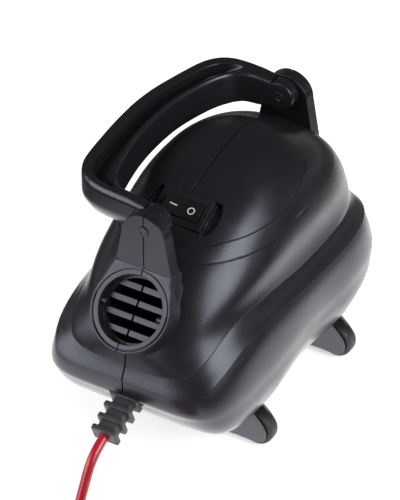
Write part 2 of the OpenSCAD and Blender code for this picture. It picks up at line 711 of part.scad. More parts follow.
function total(a, i = 0) = i < len(a) ? a[i] + total(a, i + 1) : 0;
echo(least_gap_of_the_coil = coil_room, length_of_the_cord = total(coil_length) + total(free_length));
module cord_coil() color(cord_red) tube(coil_points, cord_r, 6);
module cord_tie() color(relief_black) translate([coil_centre[0], coil_centre[1] + 4.5, 0]) rotate([90, 0, 0])
    linear_extrude(9) difference() {
        tie_outline(1);
        tie_outline(0);
    }
module tie_outline(grow) let (x0 = coil_out - coil_pitch * per_layer - cord_r - 0.3, x1 = coil_out + cord_r + 0.3,
    z0 = coil_base - cord_r - 0.2, z1 = coil_base + coil_pitch * (coil_layers - 1) + cord_r + 0.3, c = 2)
    polygon([[x0 - grow, z0 + c], [x0 + c, z0 - grow], [x1 - c, z0 - grow], [x1 + grow, z0 + c],
        [x1 + grow, z1 - c], [x1 - c, z1 + grow], [x0 + c, z1 + grow], [x0 - grow, z1 - c]]);
module plug_body() color(cord_red) translate(plug_start) rotate([90, 0, 0]) rotate_extrude()
    polygon([for (p = [[0, 0], [0.36, 0], [0.39, 0.26], [0.5, 0.43], [0.78, 0.52], [1, 0.61], [1, 0.96],
        [0.92, 1], [0, 1]]) [p[0] * plug_r, p[1] * plug_long]]);
module plug_pins() color(steel) translate(plug_start) rotate([90, 0, 0]) for (side = [-1, 1])
    translate([side * pin_spread, 0, plug_long]) cylinder(d = pin_thick, h = pin_long);

// Inlet grille and filter
module inlet_grille() color(casing_black) difference() {
    intersection() {
        union() {
            skin_half(0);
            mirror([1, 0, 0]) skin_half(0);
        }
        translate([-inlet_width / 2 + gap, filter_y, inlet_centre - inlet_height / 2 + gap])
            cube([inlet_width - 2 * gap, 60, inlet_height - 2 * gap]);
    }
    translate([-inlet_width / 2 + 3, filter_y - 1, inlet_centre - inlet_height / 2 + 3])
        cube([inlet_width - 6, filter_thick + 1.4, inlet_height - 6]);
    for (i = [0 : inlet_slots - 1])
        translate([(i - (inlet_slots - 1) / 2) * (inlet_width - 10) / inlet_slots - slot_w / 2, filter_y,
            inlet_centre - inlet_height / 2 + 6]) cube([slot_w, 60, inlet_height - 12]);
}
module inlet_filter() color(foam_grey)
    translate([-inlet_width / 2 + 3.3, filter_y, inlet_centre - inlet_height / 2 + 3.3])
        cube([inlet_width - 6.6, filter_thick, inlet_height - 6.6]);

// Motor
module motor_frame() color(steel) difference() {
    union() {
        at_motor(motor_front) cylinder(d = motor_diameter, h = motor_length);
        at_motor(front_mount_y) cylinder(r = front_boss_r, h = bearing_w + 1);
    }
    at_motor(motor_front + frame_wall) cylinder(r = motor_diameter / 2 - frame_wall, h = motor_length);
    at_motor(front_mount_y - 1) cylinder(r = shaft_r + 1.5, h = 20);
    at_motor(front_mount_y - 1) cylinder(r = bearing_r + seat, h = bearing_w + 1);
    for (a = [0 : 90 : 270]) at_motor(motor_front - 1) rotate([0, 0, a + 45])
        translate([front_boss_r + 3, -9, 0]) cube([motor_diameter / 2 - front_boss_r - 9, 18, frame_wall + 2]);
    for (a = [0 : 90 : 270]) at_motor(motor_front + 8) rotate([0, 0, a + 45])
        translate([motor_diameter / 2 - 10, -12, 0]) cube([20, 24, stack_front - motor_front - 10]);
}
module stator_core() color([0.45, 0.45, 0.47]) at_motor(stack_front) linear_extrude(stack_length) difference() {
    circle(r = stator_r);
    circle(r = armature_r + air_gap);
    intersection() {
        circle(r = stator_r - 6);
        square([2 * stator_r, 25], center = true);
    }
}
module coil_form(depth) linear_extrude(depth) difference() {
    intersection() {
        circle(r = stator_r - 7);
        translate([-50, 1]) square([100, 50]);
    }
    circle(r = armature_r + air_gap + 2.5);
}
module field_coils() color(copper) at_motor(stack_front) for (side = [0, 1]) mirror([0, side, 0]) {
    translate([0, 0, -end_turn]) coil_form(end_turn);
    translate([0, 0, stack_length]) coil_form(end_turn);
    intersection() {
        coil_form(stack_length);
        translate([-50, 0, 0]) cube([100, 11.5, stack_length]);
    }
}
module armature_core() color([0.45, 0.45, 0.47]) at_motor(stack_front) linear_extrude(stack_length) difference() {
    circle(r = armature_r);
    circle(r = shaft_r + seat);
    for (a = [0 : 30 : 330]) rotate(a) translate([armature_r - 7, -1.2]) square([10, 2.4]);
}
module armature_winding() color(copper) {
    at_motor(stack_front - end_turn) ring(armature_r - 2.5, shaft_r + 3, end_turn);
    at_motor(stack_rear) ring(armature_r - 2.5, shaft_r + 3, end_turn);
}
module commutator() color(copper) at_motor(commutator_rear - commutator_l)
    ring(commutator_r, shaft_r + seat, commutator_l);
module motor_shaft() color(steel) at_motor(shaft_front) cylinder(r = shaft_r, h = shaft_rear - shaft_front);
module bearing(y) at_motor(y) ring(bearing_r, shaft_r + running, bearing_w);
module front_bearing() color(steel) bearing(front_mount_y);
module rear_bearing() color(steel) bearing(motor_rear + diffuser_plate + bearing_seat - bearing_w);
module brush_holders() color(brass) for (side = [0, 1]) mirror([side, 0, 0])
    translate([commutator_r + 4, brush_y, motor_height]) difference() {
        translate([0, -brush_w / 2 - 1.5, -brush_h / 2 - 1.5])
            cube([motor_diameter / 2 - frame_wall - commutator_r - 4.8, brush_w + 3, brush_h + 3]);
        translate([-1, -brush_w / 2 - seat, -brush_h / 2 - seat])
            cube([motor_diameter / 2 - frame_wall - commutator_r - 6, brush_w + 2 * seat, brush_h + 2 * seat]);
    }
module carbon_brushes() color([0.1, 0.1, 0.1]) for (side = [0, 1]) mirror([side, 0, 0]) difference() {
    translate([commutator_r / 2, brush_y - brush_w / 2, motor_height - brush_h / 2])
        cube([commutator_r / 2 + brush_out, brush_w, brush_h]);
    at_motor(brush_y - 10) cylinder(r = commutator_r + 0.1, h = 20);
}

// Fan: diffuser, impeller and shroud
module diffuser() color(fan_white) difference() {
    union() {
        at_motor(motor_rear) cylinder(r = shroud_diameter / 2 - shroud_wall - seat, h = diffuser_plate);
        at_motor(motor_rear - 5) cylinder(r = bearing_r + 3, h = diffuser_plate + bearing_seat + 5);
        for (a = [0 : 40 : 320]) at_motor(motor_rear) rotate([0, 0, a]) translate([bearing_r + 6, 0, 0])
            rotate([0, 0, 35]) cube([18, 2, diffuser_plate + vane_h]);
    }
    at_motor(motor_rear - 10) cylinder(r = shaft_r + 1.5, h = 40);
    at_motor(motor_rear + diffuser_plate + bearing_seat - bearing_w)
        cylinder(r = bearing_r + seat, h = bearing_w + 10);
    for (a = [0 : 40 : 320]) at_motor(motor_rear - 1) rotate([0, 0, a + 20])
        translate([shroud_diameter / 2 - 16, 0, 0]) cylinder(r = 5, h = diffuser_plate + 2);
}
module impeller() color(fan_white) difference() {
    union() {
        at_motor(impeller_y) cylinder(d = impeller_diameter, h = 2);
        at_motor(impeller_y) cylinder(r = 10, h = impeller_h);
        for (i = [0 : blades - 1]) at_motor(impeller_y) rotate([0, 0, 360 * i / blades]) blade();
    }
    at_motor(impeller_y - 1) cylinder(r = shaft_r + seat, h = impeller_h + 2);
}
// One backward-curved blade: an arc from the hub to the rim
module blade() let (rim = impeller_diameter / 2 - 0.5, arc = impeller_diameter * 0.32) linear_extrude(impeller_h - 2)
    intersection() {
        circle(r = rim);
        difference() {
            translate([8, arc - 2]) circle(r = arc);
            translate([8, arc - 2]) circle(r = arc - 1.6);
            translate([-2 * rim, -2 * rim]) square([2 * rim + 8, 4 * rim]);
            translate([-2 * rim, rim * 0.75]) square([4 * rim, 2 * rim]);
        }
    }
module fan_shroud() color(steel) difference() {
    at_motor(motor_rear) cylinder(d = shroud_diameter, h = shroud_length);
    at_motor(motor_rear - 1) cylinder(r = shroud_diameter / 2 - shroud_wall, h = shroud_length - shroud_wall + 1);
    at_motor(motor_rear) cylinder(d = eye_diameter, h = shroud_length + 1);
}
module impeller_nut() color(steel) at_motor(impeller_y + impeller_h) difference() {
    linear_extrude(nut_h) circle(d = nut_flats / cos(30), $fn = 6);
    translate([0, 0, -1]) cylinder(r = shaft_r + seat, h = nut_h + 2);
}
module front_mount() color(tyre_black) at_motor(front_mount_y) ring(front_mount_r, front_boss_r + seat, bearing_w - 0.3);
module rear_mount() color(tyre_black) at_motor(bulkhead_y - (mount_l - wall) / 2) difference() {
    ring(mount_r, shroud_diameter / 2 + seat, mount_l);
    translate([0, 0, (mount_l - wall) / 2 - seat]) ring(mount_r + 1, mount_r - mount_groove, wall + 2 * seat);
}

// Leads from the cord to the switch and on to the motor
lead_start = [0, relief_y + (clamp_deep + clamp_long + 12) * cos(relief_tilt),
    relief_centre + (clamp_deep + clamp_long + 12) * sin(relief_tilt)];
terminal_tip = [0, switch_y + (flange_plate + switch_depth + terminal_out) * sin(switch_tilt),
    switch_z - (flange_plate + switch_depth + terminal_out) * cos(switch_tilt)];
lead_rise = terminal_tip - lead_start;
motor_end = [-motor_diameter / 4, motor_front - 0.3, motor_height + 0.24 * motor_diameter];
module switch_lead() color([0.5, 0.3, 0.15]) tube([lead_start + [1, 0.4, 0.2], lead_start + [1, 6, 2.5],
    lead_start + [0.45 * terminal_pitch, 0.39 * lead_rise[1], 0.21 * lead_rise[2]],
    lead_start + [0.9 * terminal_pitch, 0.59 * lead_rise[1], 0.5 * lead_rise[2]],
    terminal_tip + [terminal_pitch, -1, -12], terminal_tip + [terminal_pitch, -0.1, -0.9]], lead_r, 6);
module motor_lead() color([0.1, 0.2, 0.6]) tube([terminal_tip + [-terminal_pitch, -0.1, -0.9],
    terminal_tip + [-terminal_pitch, -1, -12], motor_end + [0.07 * motor_diameter, -0.3 * motor_length, 9],
    motor_end + [1, -0.15 * motor_length, 2], motor_end], lead_r, 6);

// Swivel casters
module stem_sockets() color(steel) for (p = caster_places)
    translate([p[0] * caster_track, p[1] * caster_base, underside]) difference() {
        cylinder(r = socket_r, h = stem_height + 2);
        translate([0, 0, -1]) cylinder(r = stem_diameter / 2 + running, h = stem_height + 1);
    }
module cheek_outline() {
    translate([caster_trail, wheel_r]) circle(r = cheek_r);
    polygon([[-7, 4], [caster_trail, wheel_r - cheek_r], [caster_trail + cheek_r * 0.8, wheel_r + cheek_r * 0.6],
        [caster_trail - 3, yoke_top], [-7, yoke_top]]);
}
module yoke() {
    for (side = [-1, 1]) translate([0, side * (cheek_in + cheek / 2), 0]) rotate([90, 0, 0])
        linear_extrude(cheek, center = true) difference() {
            cheek_outline();
            translate([caster_trail, wheel_r]) circle(d = axle_diameter + 2 * seat);
        }
    translate([-7, -cheek_in - 0.1, yoke_top - crown_thick]) cube([caster_trail + 4, 2 * cheek_in + 0.2, crown_thick]);
    translate([-7, -cheek_in - 0.1, 4]) cube([2.5, 2 * cheek_in + 0.2, yoke_top - 4]);
    translate([-7, -cheek_in - 0.1, 4]) cube([8, 2 * cheek_in + 0.2, 2]);
    translate([0, 0, yoke_top - crown_thick]) cylinder(d = stem_diameter, h = crown_thick + stem_height);
}
module caster_wheel() translate([caster_trail, 0, wheel_r]) rotate([90, 0, 0]) difference() {
    rotate_extrude() polygon([[0, -wheel_width / 2], [wheel_r - 1.5, -wheel_width / 2],
        [wheel_r, 1.5 - wheel_width / 2], [wheel_r, wheel_width / 2 - 1.5], [wheel_r - 1.5, wheel_width / 2],
        [0, wheel_width / 2]]);
    cylinder(r = axle_diameter / 2 + running, h = wheel_width + 2, center = true);
}
module caster_axle() translate([caster_trail, 0, wheel_r]) rotate([90, 0, 0])
    cylinder(d = axle_diameter, h = 2 * (cheek_in + cheek) + 0.6, center = true);
module at_caster(k) translate([caster_places[k][0] * caster_track, caster_places[k][1] * caster_base, 0]) children();
module front_left_yoke() color(yoke_grey) at_caster(0) yoke();
module front_left_wheel() color(tyre_black) at_caster(0) caster_wheel();
module front_left_axle() color(steel) at_caster(0) caster_axle();
module front_right_yoke() color(yoke_grey) at_caster(1) yoke();
module front_right_wheel() color(tyre_black) at_caster(1) caster_wheel();
module front_right_axle() color(steel) at_caster(1) caster_axle();
module rear_left_yoke() color(yoke_grey) at_caster(2) yoke();
module rear_left_wheel() color(tyre_black) at_caster(2) caster_wheel();
module rear_left_axle() color(steel) at_caster(2) caster_axle();
module rear_right_yoke() color(yoke_grey) at_caster(3) yoke();
module rear_right_wheel() color(tyre_black) at_caster(3) caster_wheel();
module rear_right_axle() color(steel) at_caster(3) caster_axle();

left_casing();
right_casing();
casing_screws();
switch_frame();
switch_rocker();
switch_terminals();
strain_relief();
cord_clamp();
clamp_screws();
inner_cord();
mains_cord();
cord_coil();
cord_tie();
plug_body();
plug_pins();
carry_handle();
handle_pins();
inlet_grille();
inlet_filter();
motor_frame();
stator_core();
field_coils();
diffuser();
fan_shroud();
front_mount();
rear_mount();
front_bearing();
rear_bearing();
brush_holders();
carbon_brushes();
motor_shaft();
armature_core();
armature_winding();
commutator();
impeller();
impeller_nut();
switch_lead();
motor_lead();
stem_sockets();
front_left_yoke();
front_left_wheel();
front_left_axle();
front_right_yoke();
front_right_wheel();
front_right_axle();
rear_left_yoke();
rear_left_wheel();
rear_left_axle();
rear_right_yoke();
rear_right_wheel();
rear_right_axle();
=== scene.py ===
"""Car dryer blower: the visible housing, handle, switch, cord and casters over the working model."""
import math

import bmesh
import bpy
from bpy.props import FloatProperty, FloatVectorProperty, IntProperty, PointerProperty
from bpy.types import Operator, Panel, PropertyGroup
from mathutils import Matrix, Vector


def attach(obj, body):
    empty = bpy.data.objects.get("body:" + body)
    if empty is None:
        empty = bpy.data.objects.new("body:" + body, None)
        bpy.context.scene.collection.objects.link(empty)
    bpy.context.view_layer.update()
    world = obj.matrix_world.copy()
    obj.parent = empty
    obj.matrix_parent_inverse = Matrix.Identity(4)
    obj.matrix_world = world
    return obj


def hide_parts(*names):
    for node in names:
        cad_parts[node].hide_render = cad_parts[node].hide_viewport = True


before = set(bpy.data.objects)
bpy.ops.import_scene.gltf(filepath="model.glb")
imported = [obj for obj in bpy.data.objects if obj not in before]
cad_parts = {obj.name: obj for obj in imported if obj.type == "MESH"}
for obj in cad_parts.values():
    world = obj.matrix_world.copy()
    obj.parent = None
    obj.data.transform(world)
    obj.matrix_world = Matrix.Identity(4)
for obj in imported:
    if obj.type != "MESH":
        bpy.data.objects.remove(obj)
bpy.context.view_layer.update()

bl_info = {
    "name": "Car dryer blower",
    "version": (1, 0, 0),
    "blender": (4, 5, 0),
    "location": "View3D > Sidebar > Dryer",
    "description": "Builds the dryer's housing, handle, switch, cord and casters over the working model",
    "category": "Add Mesh",
}


def at(x, y, z, degrees=0.0, axis="X"):
    """A place, turned about one of its axes."""
    return Matrix.Translation((x, y, z)) @ Matrix.Rotation(math.radians(degrees), 4, axis)


# Shapes are drawn in millimetres and made metres as each piece is finished.
BODY_WIDTH, BODY_TOP, SOLE, KEPT_INSET = 151.0, 204.0, 30.0, 2.6
NOSE, TAIL, WAIST, BROW, CROWN_Y = 144.0, 114.0, 6.0, 20.0, 18.0
PIVOT, PIN_HOLE, PIN_LENGTH = 198.5, 4.05, 22.0
POST_RADIUS, POST_CENTRE, POST_DEPTH = 17.5, 193, 10
FRONT_POST, FRONT_FOOT = -114.5, [(22, 167, 10), (27.3, 148, 5), (28, 132, 0.5)]
REAR_POST, REAR_FOOT = 81, [(22, 167, 12), (25, 148, 6), (27, 128, 0.5)]
LUG_WIDTH, LUG_STARTS, PIN_STARTS = 10, (-104.1, 70.6), (-115.3, 69.8)
BORE, COLLAR_DEPTH, BAR_PITCH, BAR_HALF = 24, 44.0, 10.5, 2.3
SEAM_EDGE, LIP_DEPTH, LIP_WIDTH, CAP_RISE, SCREW_WELL = 0.25, 0.5, 0.35, 0.12, 4.2
BAND_PROUD, BAND_FALL = 2.2, 2.9
RECESS_RADIUS, RECESS_SIDE, SWITCH_END, HINGE_DEPTH = 28, 13.5, 20.2, 2.2
ROCKER_HALF, ROCKER_LOW, ROCKER_RISE, ROCKER_CURVE = 14, 3.8, 1.6, 1.6
CASTER_TRACK, CASTER_BASE, TRAIL, WHEEL_RADIUS, WHEEL_BORE = 46, 58, 14, 13, 2.05
RELIEF_Y, RELIEF_Z, RELIEF_LENGTH, RELIEF_TILT = -138, 69.5, 33, math.radians(22)
COIL_X, COIL_Y, COIL_RADIUS, COIL_BASE, COIL_PITCH, COIL_LAYERS = 62, -268, 62.0, 5.0, 8.0, 4
PLUG_RADIUS, PLUG_REACH = 18, 59.5
AT_OUTLET = at(0, -133, 144, 52)
AT_SWITCH = at(0, -62.5, 184.6, 26)
AT_RELIEF = at(0, RELIEF_Y, RELIEF_Z, 112)
AT_INLET = at(0, 99, 80, -90)
ALONG_Y = at(0, 0, 0, -90)
SATIN, SMOOTH = 0, 1

# Rows of the housing's form, sole to crown: share of the height, of the half width, of the
# nose's and the tail's reach, squareness at the nose and at the tail, share of the brow's dip.
FORM = (
    (0.000, 0.80, 0.71, 0.76, 6.5, 4.0, 0.0), (0.055, 0.88, 0.78, 0.88, 7.5, 4.2, 0.0),
    (0.115, 0.94, 0.86, 0.94, 8.5, 4.4, 0.0), (0.175, 0.98, 0.92, 0.98, 7.5, 4.5, 0.0),
    (0.235, 0.99, 0.96, 1.00, 7.0, 4.5, 0.1), (0.300, 1.00, 0.99, 1.00, 6.5, 4.5, 0.4),
    (0.385, 0.97, 1.00, 0.97, 6.5, 4.5, 0.9), (0.450, 0.93, 1.00, 0.94, 6.0, 4.2, 1.0),
    (0.515, 0.86, 0.98, 0.89, 5.0, 3.8, 1.0), (0.600, 0.82, 0.95, 0.89, 3.5, 3.5, 0.9),
    (0.690, 0.82, 0.86, 0.86, 3.0, 3.0, 0.6), (0.775, 0.78, 0.71, 0.78, 2.5, 2.8, 0.2),
    (0.850, 0.71, 0.54, 0.66, 2.3, 2.5, 0.0), (0.915, 0.58, 0.38, 0.48, 2.2, 2.3, 0.0),
    (0.960, 0.42, 0.22, 0.37, 2.1, 2.1, 0.0), (0.990, 0.22, 0.03, 0.27, 2.0, 2.0, 0.0))

# Moulded lines on the housing: the row that each follows, by the turn from the nose.
BAND_LOW = ((0, 7.14), (24, 7.14), (40, 6.95), (45, 7.11), (58, 7.48), (90, 7.1), (114, 7.0), (180, 7.0))
BAND_HIGH = ((0, 8.1), (37, 8.1), (43, 8.28), (55, 8.8), (69, 8.6), (90, 8.25), (180, 8.25))
BROW_LINE = ((0, 11.26), (18, 11.26), (35, 11.19), (46, 11.11), (63, 10.95), (74, 10.84), (85, 10.9), (180, 11.0))
DOME_LINE = ((0, 11.6), (16, 11.63), (38, 11.71), (57, 11.69), (79, 11.74), (90, 11.95), (101, 12.25),
             (116, 12.53), (124, 12.89), (132, 13.39), (147, 14.03), (160, 14.45), (180, 14.6))

# The handle in plan, front lug to rear lug: outer x and y, inner x and y, and the shares of the
# channel's depth and of the thickness.
GRIP = (
    (-6.9, -104.1, -6.9, -94.1, 0.0, 0.88), (-18.3, -103.9, -18.3, -93.3, 0.0, 1.0),
    (-30.2, -103.2, -29.8, -91.8, 0.0, 1.0), (-36.5, -102.6, -33.6, -89.6, 0.0, 1.0),
    (-43.5, -101.6, -36.9, -86.9, 0.7, 1.0), (-53.0, -99.0, -40.2, -82.2, 1.0, 1.0),
    (-62.0, -93.0, -43.0, -76.2, 1.0, 1.0), (-67.6, -84.0, -45.3, -69.6, 1.0, 1.0),
    (-70.6, -70.0, -47.4, -60.6, 1.0, 1.0), (-72.4, -53.0, -49.8, -49.0, 1.0, 1.0),
    (-73.8, -36.0, -52.0, -35.0, 1.0, 1.0), (-74.6, -18.0, -53.3, -18.0, 1.0, 1.0),
    (-74.3, 1.0, -53.3, 0.0, 1.0, 1.0), (-72.0, 19.5, -52.0, 15.5, 1.0, 1.0),
    (-68.2, 36.0, -49.2, 29.5, 1.0, 1.0), (-64.0, 51.5, -45.4, 43.0, 1.0, 1.0),
    (-59.5, 65.0, -41.2, 53.8, 1.0, 1.0), (-52.6, 75.0, -37.0, 60.8, 0.95, 1.0),
    (-43.0, 80.4, -32.0, 65.6, 0.5, 1.0), (-31.5, 81.6, -25.8, 68.4, 0.0, 1.0),
    (-18.3, 80.9, -18.3, 69.6, 0.0, 1.0), (-6.9, 80.6, -6.9, 70.6, 0.0, 0.88))

CROWN_ROW = len(FORM) - 1
SCREWS = ((-104, 48), (0, 41), (86, 45), (88, 140), (44, 166), (-14, 174))
CORNERS = {f"{end}_{side}": (x, y) for end, y in (("front", -CASTER_BASE), ("rear", CASTER_BASE))
           for side, x in (("left", -CASTER_TRACK), ("right", CASTER_TRACK))}


# ---- Sizes and colours that a user would change

def length(name, text, default, low=0.0, high=0.1):
    return FloatProperty(name=name, description=text, default=default, min=low, max=high,
                         unit="LENGTH", precision=5)


def share(name, text, default):
    return FloatProperty(name=name, description=text, default=default, min=0.0, max=1.0, subtype="FACTOR")


def colour(name, text, default):
    return FloatVectorProperty(name=name, description=text, default=default, size=3, min=0.0, max=1.0,
                               subtype="COLOR")


def amount(name, text, default, unit):
    return FloatProperty(name=name, description=text, default=default, min=0.0, unit=unit)


class HousingSettings(PropertyGroup):
    plastic: colour("Plastic", "Colour of the moulded housing and handle", (0.0095, 0.0095, 0.0115))
    roughness: share("Roughness", "Roughness of the grained plastic", 0.28)
    band_roughness: share("Band roughness", "Roughness of the smooth band round the waist", 0.1)
    wall: length("Wall", "Thickness of the housing's wall", 0.003, 0.001, 0.006)
    seam: length("Seam", "Half the gap of the seam between the two halves", 0.00022, 0.0001, 0.001)
    groove: length("Groove", "Depth of the moulded lines on the dome", 0.0005, 0.0, 0.001)
    band: length("Band", "Relief of the smooth band, proud below and sunk above", 0.0008, 0.0, 0.002)
    grain: length("Grain", "Size of the plastic's surface grain", 0.0007, 0.0002, 0.003)


class HandleSettings(PropertyGroup):
    edge: length("Edge", "Rounding of the handle's edges", 0.0035, 0.001, 0.005)
    pin: length("Pin", "Diameter of the handle's pins", 0.008, 0.006, 0.0081)


class SwitchSettings(PropertyGroup):
    plastic: colour("Plastic", "Colour of the switch", (0.008, 0.008, 0.009))
    mark: colour("Mark", "Colour of the on and off marks", (0.78, 0.78, 0.76))
    stroke: length("Stroke", "Line width of the marks", 0.00075, 0.0004, 0.002)


class CordSettings(PropertyGroup):
    sheath: colour("Sheath", "Colour of the cord and plug", (0.43, 0.009, 0.022))
    rubber: colour("Rubber", "Colour of the strain relief", (0.024, 0.024, 0.028))
    diameter: length("Diameter", "Diameter of the cord", 0.0075, 0.007, 0.0076)
    turns: IntProperty(name="Turns", description="Turns of the stored coil", default=17, min=4, max=17)


class CasterSettings(PropertyGroup):
    # The fork's dark grey is far lighter than the housing's black. It is partly the fork's own colour and partly
    # painted sheen: the grey that black plastic shows in grazing light.
    fork: colour("Fork", "Colour of the caster's fork", (0.075, 0.077, 0.085))
    tyre: colour("Tyre", "Colour of the caster's wheel", (0.012, 0.012, 0.012))
    edge: length("Edge", "Rounding of the fork's edges", 0.0007, 0.0002, 0.001)


class StageSettings(PropertyGroup):
    floor: colour("Floor", "Colour of the floor", (0.9, 0.9, 0.9))
    lens: amount("Lens", "Focal length of the camera in millimetres", 267.43, "CAMERA")
    key: amount("Key light", "Power of the key light in watts", 26.0, "POWER")
    fill: amount("Fill light", "Power of the fill light in watts", 20.0, "POWER")
    ambient: share("Ambient", "Strength of the light from all round", 0.35)
    lift: share("Lift", "How far the floor is lifted towards white for the camera", 0.5)


# ---- Drawing helpers

def clamp(value):
    return max(0.0, min(1.0, value))


def spline(a, b, c, d, t):
    """A smooth curve's value between b and c."""
    return 0.5 * (2 * b + (c - a) * t + (2 * a - 5 * b + 4 * c - d) * t * t
                  + (3 * b - a - 3 * c + d) * t ** 3)


def row_of(rows, v):
    """A row between two of the rows, on a smooth curve through them."""
    v = max(0.0, min(len(rows) - 1.0, v))
    i = min(int(v), len(rows) - 2)
    picks = [rows[max(0, min(len(rows) - 1, i + k))] for k in (-1, 0, 1, 2)]
    return [spline(*column, v - i) for column in zip(*picks)]


def line_at(knots, t):
    """Height of a moulded line at a turn, smooth through its knots."""
    i = max(k for k in range(len(knots) - 1) if knots[k][0] <= t or k == 0)
    slopes = []
    for k in (i, i + 1):
        a, b = knots[max(0, k - 1)], knots[min(len(knots) - 1, k + 1)]
        slopes.append((b[1] - a[1]) / (b[0] - a[0]))
    (x0, y0), (x1, y1) = knots[i], knots[i + 1]
    h, u = x1 - x0, (t - x0) / (x1 - x0)
    return ((2 * u ** 3 - 3 * u * u + 1) * y0 + (u ** 3 - 2 * u * u + u) * h * slopes[0]
            + (3 * u * u - 2 * u ** 3) * y1 + (u ** 3 - u * u) * h * slopes[1])


def rounded(corners, steps=4):
    """A closed outline with a fixed count of points, whose corners (x, y, radius) are rounded."""
    points = []
    for k, (x, y, radius) in enumerate(corners):
        here = Vector((x, y))
        before = Vector(corners[k - 1][:2]) - here
        after = Vector(corners[(k + 1) % len(corners)][:2]) - here
        a = here + before.normalized() * min(radius, 0.48 * before.length)
        b = here + after.normalized() * min(radius, 0.48 * after.length)
        for j in range(steps + 1):
            t = j / steps
            points.append(a * (1 - t) ** 2 + here * 2 * t * (1 - t) + b * t * t)
    return points


def rolled(bm, around, along, place, closed=True, finish=None):
    """A grid rolled into a tube: place(i, j) gives the point at step i around and j along."""
    verts = bmesh.ops.create_grid(bm, x_segments=around, y_segments=along, size=1)["verts"]
    if finish:
        for face in bm.faces:
            face.material_index = finish(int((face.calc_center_median().y + 1) / 2 * along))
    for v in verts:
        i, j = round((v.co.x + 1) / 2 * around), round((v.co.y + 1) / 2 * along)
        v.co = place(i % around if closed else i, j)
    bmesh.ops.remove_doubles(bm, verts=verts, dist=0.001)
    close_ends(bm)
    return bm


def moved(bm, matrix):
    bmesh.ops.transform(bm, matrix=matrix, verts=bm.verts[:])
    return bm


def bevelled(bm, edges, width, segments):
    bmesh.ops.bevel(bm, geom=edges, offset=width, segments=segments, profile=0.5, affect="EDGES", material=-1,
                    clamp_overlap=True)


def close_ends(bm):
    bmesh.ops.holes_fill(bm, edges=[e for e in bm.edges if e.is_boundary], sides=0)
    bmesh.ops.recalc_face_normals(bm, faces=bm.faces[:])


def spun(profile, matrix=Matrix(), steps=64):
    """A body turned about z from its profile of (radius, height), put in place by the matrix."""
    bm = bmesh.new()
    verts = [bm.verts.new((max(0.0, r), 0, z)) for r, z in profile]
    edges = [bm.edges.new(pair) for pair in zip(verts, verts[1:])]
    if profile[0][0] > 0:
        edges.append(bm.edges.new((verts[-1], verts[0])))
    bmesh.ops.spin(bm, geom=verts + edges, axis=(0, 0, 1), cent=(0, 0, 0), angle=math.tau, steps=steps,
                   use_merge=True)
    bmesh.ops.remove_doubles(bm, verts=bm.verts[:], dist=0.001)
    bmesh.ops.recalc_face_normals(bm, faces=bm.faces[:])
    return moved(bm, matrix)


def plate(outline, low, high, edge=0.0, matrix=Matrix(), segments=2, ends=(True, True)):
    """An outline in x and y raised from low to high, with the rims of its ends rounded."""
    bm = bmesh.new()
    base = bm.faces.new([bm.verts.new((p[0], p[1], low)) for p in outline])
    raised = bmesh.ops.extrude_face_region(bm, geom=[base])["geom"]
    top = [g for g in raised if isinstance(g, bmesh.types.BMVert)]
    bmesh.ops.translate(bm, vec=(0, 0, high - low), verts=top)
    bmesh.ops.recalc_face_normals(bm, faces=bm.faces[:])
    if edge:
        rims = [e for e in bm.edges if any(on and all(abs(v.co.z - z) < 1e-4 for v in e.verts)
                                           for on, z in zip(ends, (low, high)))]
        bevelled(bm, rims, edge, segments)
    return moved(bm, matrix)


def oblong(wide, tall, radius, steps=4):
    x, y = wide / 2, tall / 2
    return rounded([(x, -y, radius), (x, y, radius), (-x, y, radius), (-x, -y, radius)], steps)


def arc(radius, start, stop, steps, up=0.0):
    """Points on an arc about (0, up), from one angle to another in degrees."""
    angles = [math.radians(start + (stop - start) * k / steps) for k in range(steps + 1)]
    return [(radius * math.cos(a), up + radius * math.sin(a)) for a in angles]


def both_ends(half, depth=0.0):
    """A turned profile whose second end mirrors its first."""
    return half + [(r, depth - z) for r, z in reversed(half)]


def sliced(bm, place, normal):
    """Keeps what lies on the normal's side of a plane and closes the cut."""
    bmesh.ops.bisect_plane(bm, geom=bm.verts[:] + bm.edges[:] + bm.faces[:], dist=1e-4, plane_co=place,
                           plane_no=normal, clear_inner=True)
    close_ends(bm)


def clipped(bm, x, edge=0.0):
    """Keeps what lies beyond x and softens the cut's rim."""
    sliced(bm, (x, 0, 0), (1, 0, 0))
    if edge:
        bevelled(bm, [e for e in bm.edges if all(abs(v.co.x - x) < 1e-3 for v in e.verts)], edge, 1)
    return bm


def joined(first, *others):
    """Puts the other shapes beside the first in one mesh."""
    for other in others:
        spare = bpy.data.meshes.new("spare")
        other.to_mesh(spare)
        other.free()
        first.from_mesh(spare)
        bpy.data.meshes.remove(spare)
    return first


def loose(name, bm):
    mesh = bpy.data.meshes.new(name)
    bm.to_mesh(mesh)
    bm.free()
    thing = bpy.data.objects.new(name, mesh)
    bpy.context.scene.collection.objects.link(thing)
    return thing


def discard(thing):
    mesh = thing.data
    bpy.data.objects.remove(thing)
    bpy.data.meshes.remove(mesh)


def worked(base, shape, how):
    """Cuts, adds or keeps a shape. Both are closed, and the shape is used up."""
    tool = loose("tool", shape)
    step = base.modifiers.new("step", "BOOLEAN")
    step.operation, step.solver, step.object = how, "MANIFOLD", tool
    depsgraph = bpy.context.evaluated_depsgraph_get()
    depsgraph.update()
    result = bpy.data.meshes.new_from_object(base.evaluated_get(depsgraph), depsgraph=depsgraph)
    before = base.data
    if len(result.polygons) == len(before.polygons) and len(result.vertices) == len(before.vertices):
        raise RuntimeError(f"{base.name}: a {how.lower()} changed nothing")
    base.modifiers.clear()
    result.materials.clear()
    for material in before.materials:
        result.materials.append(material)
    base.data = result
    bpy.data.meshes.remove(before)
    discard(tool)


def mirrored(bm):
    bmesh.ops.scale(bm, vec=(-1, 1, 1), verts=bm.verts[:])
    bmesh.ops.reverse_faces(bm, faces=bm.faces[:])
    return bm


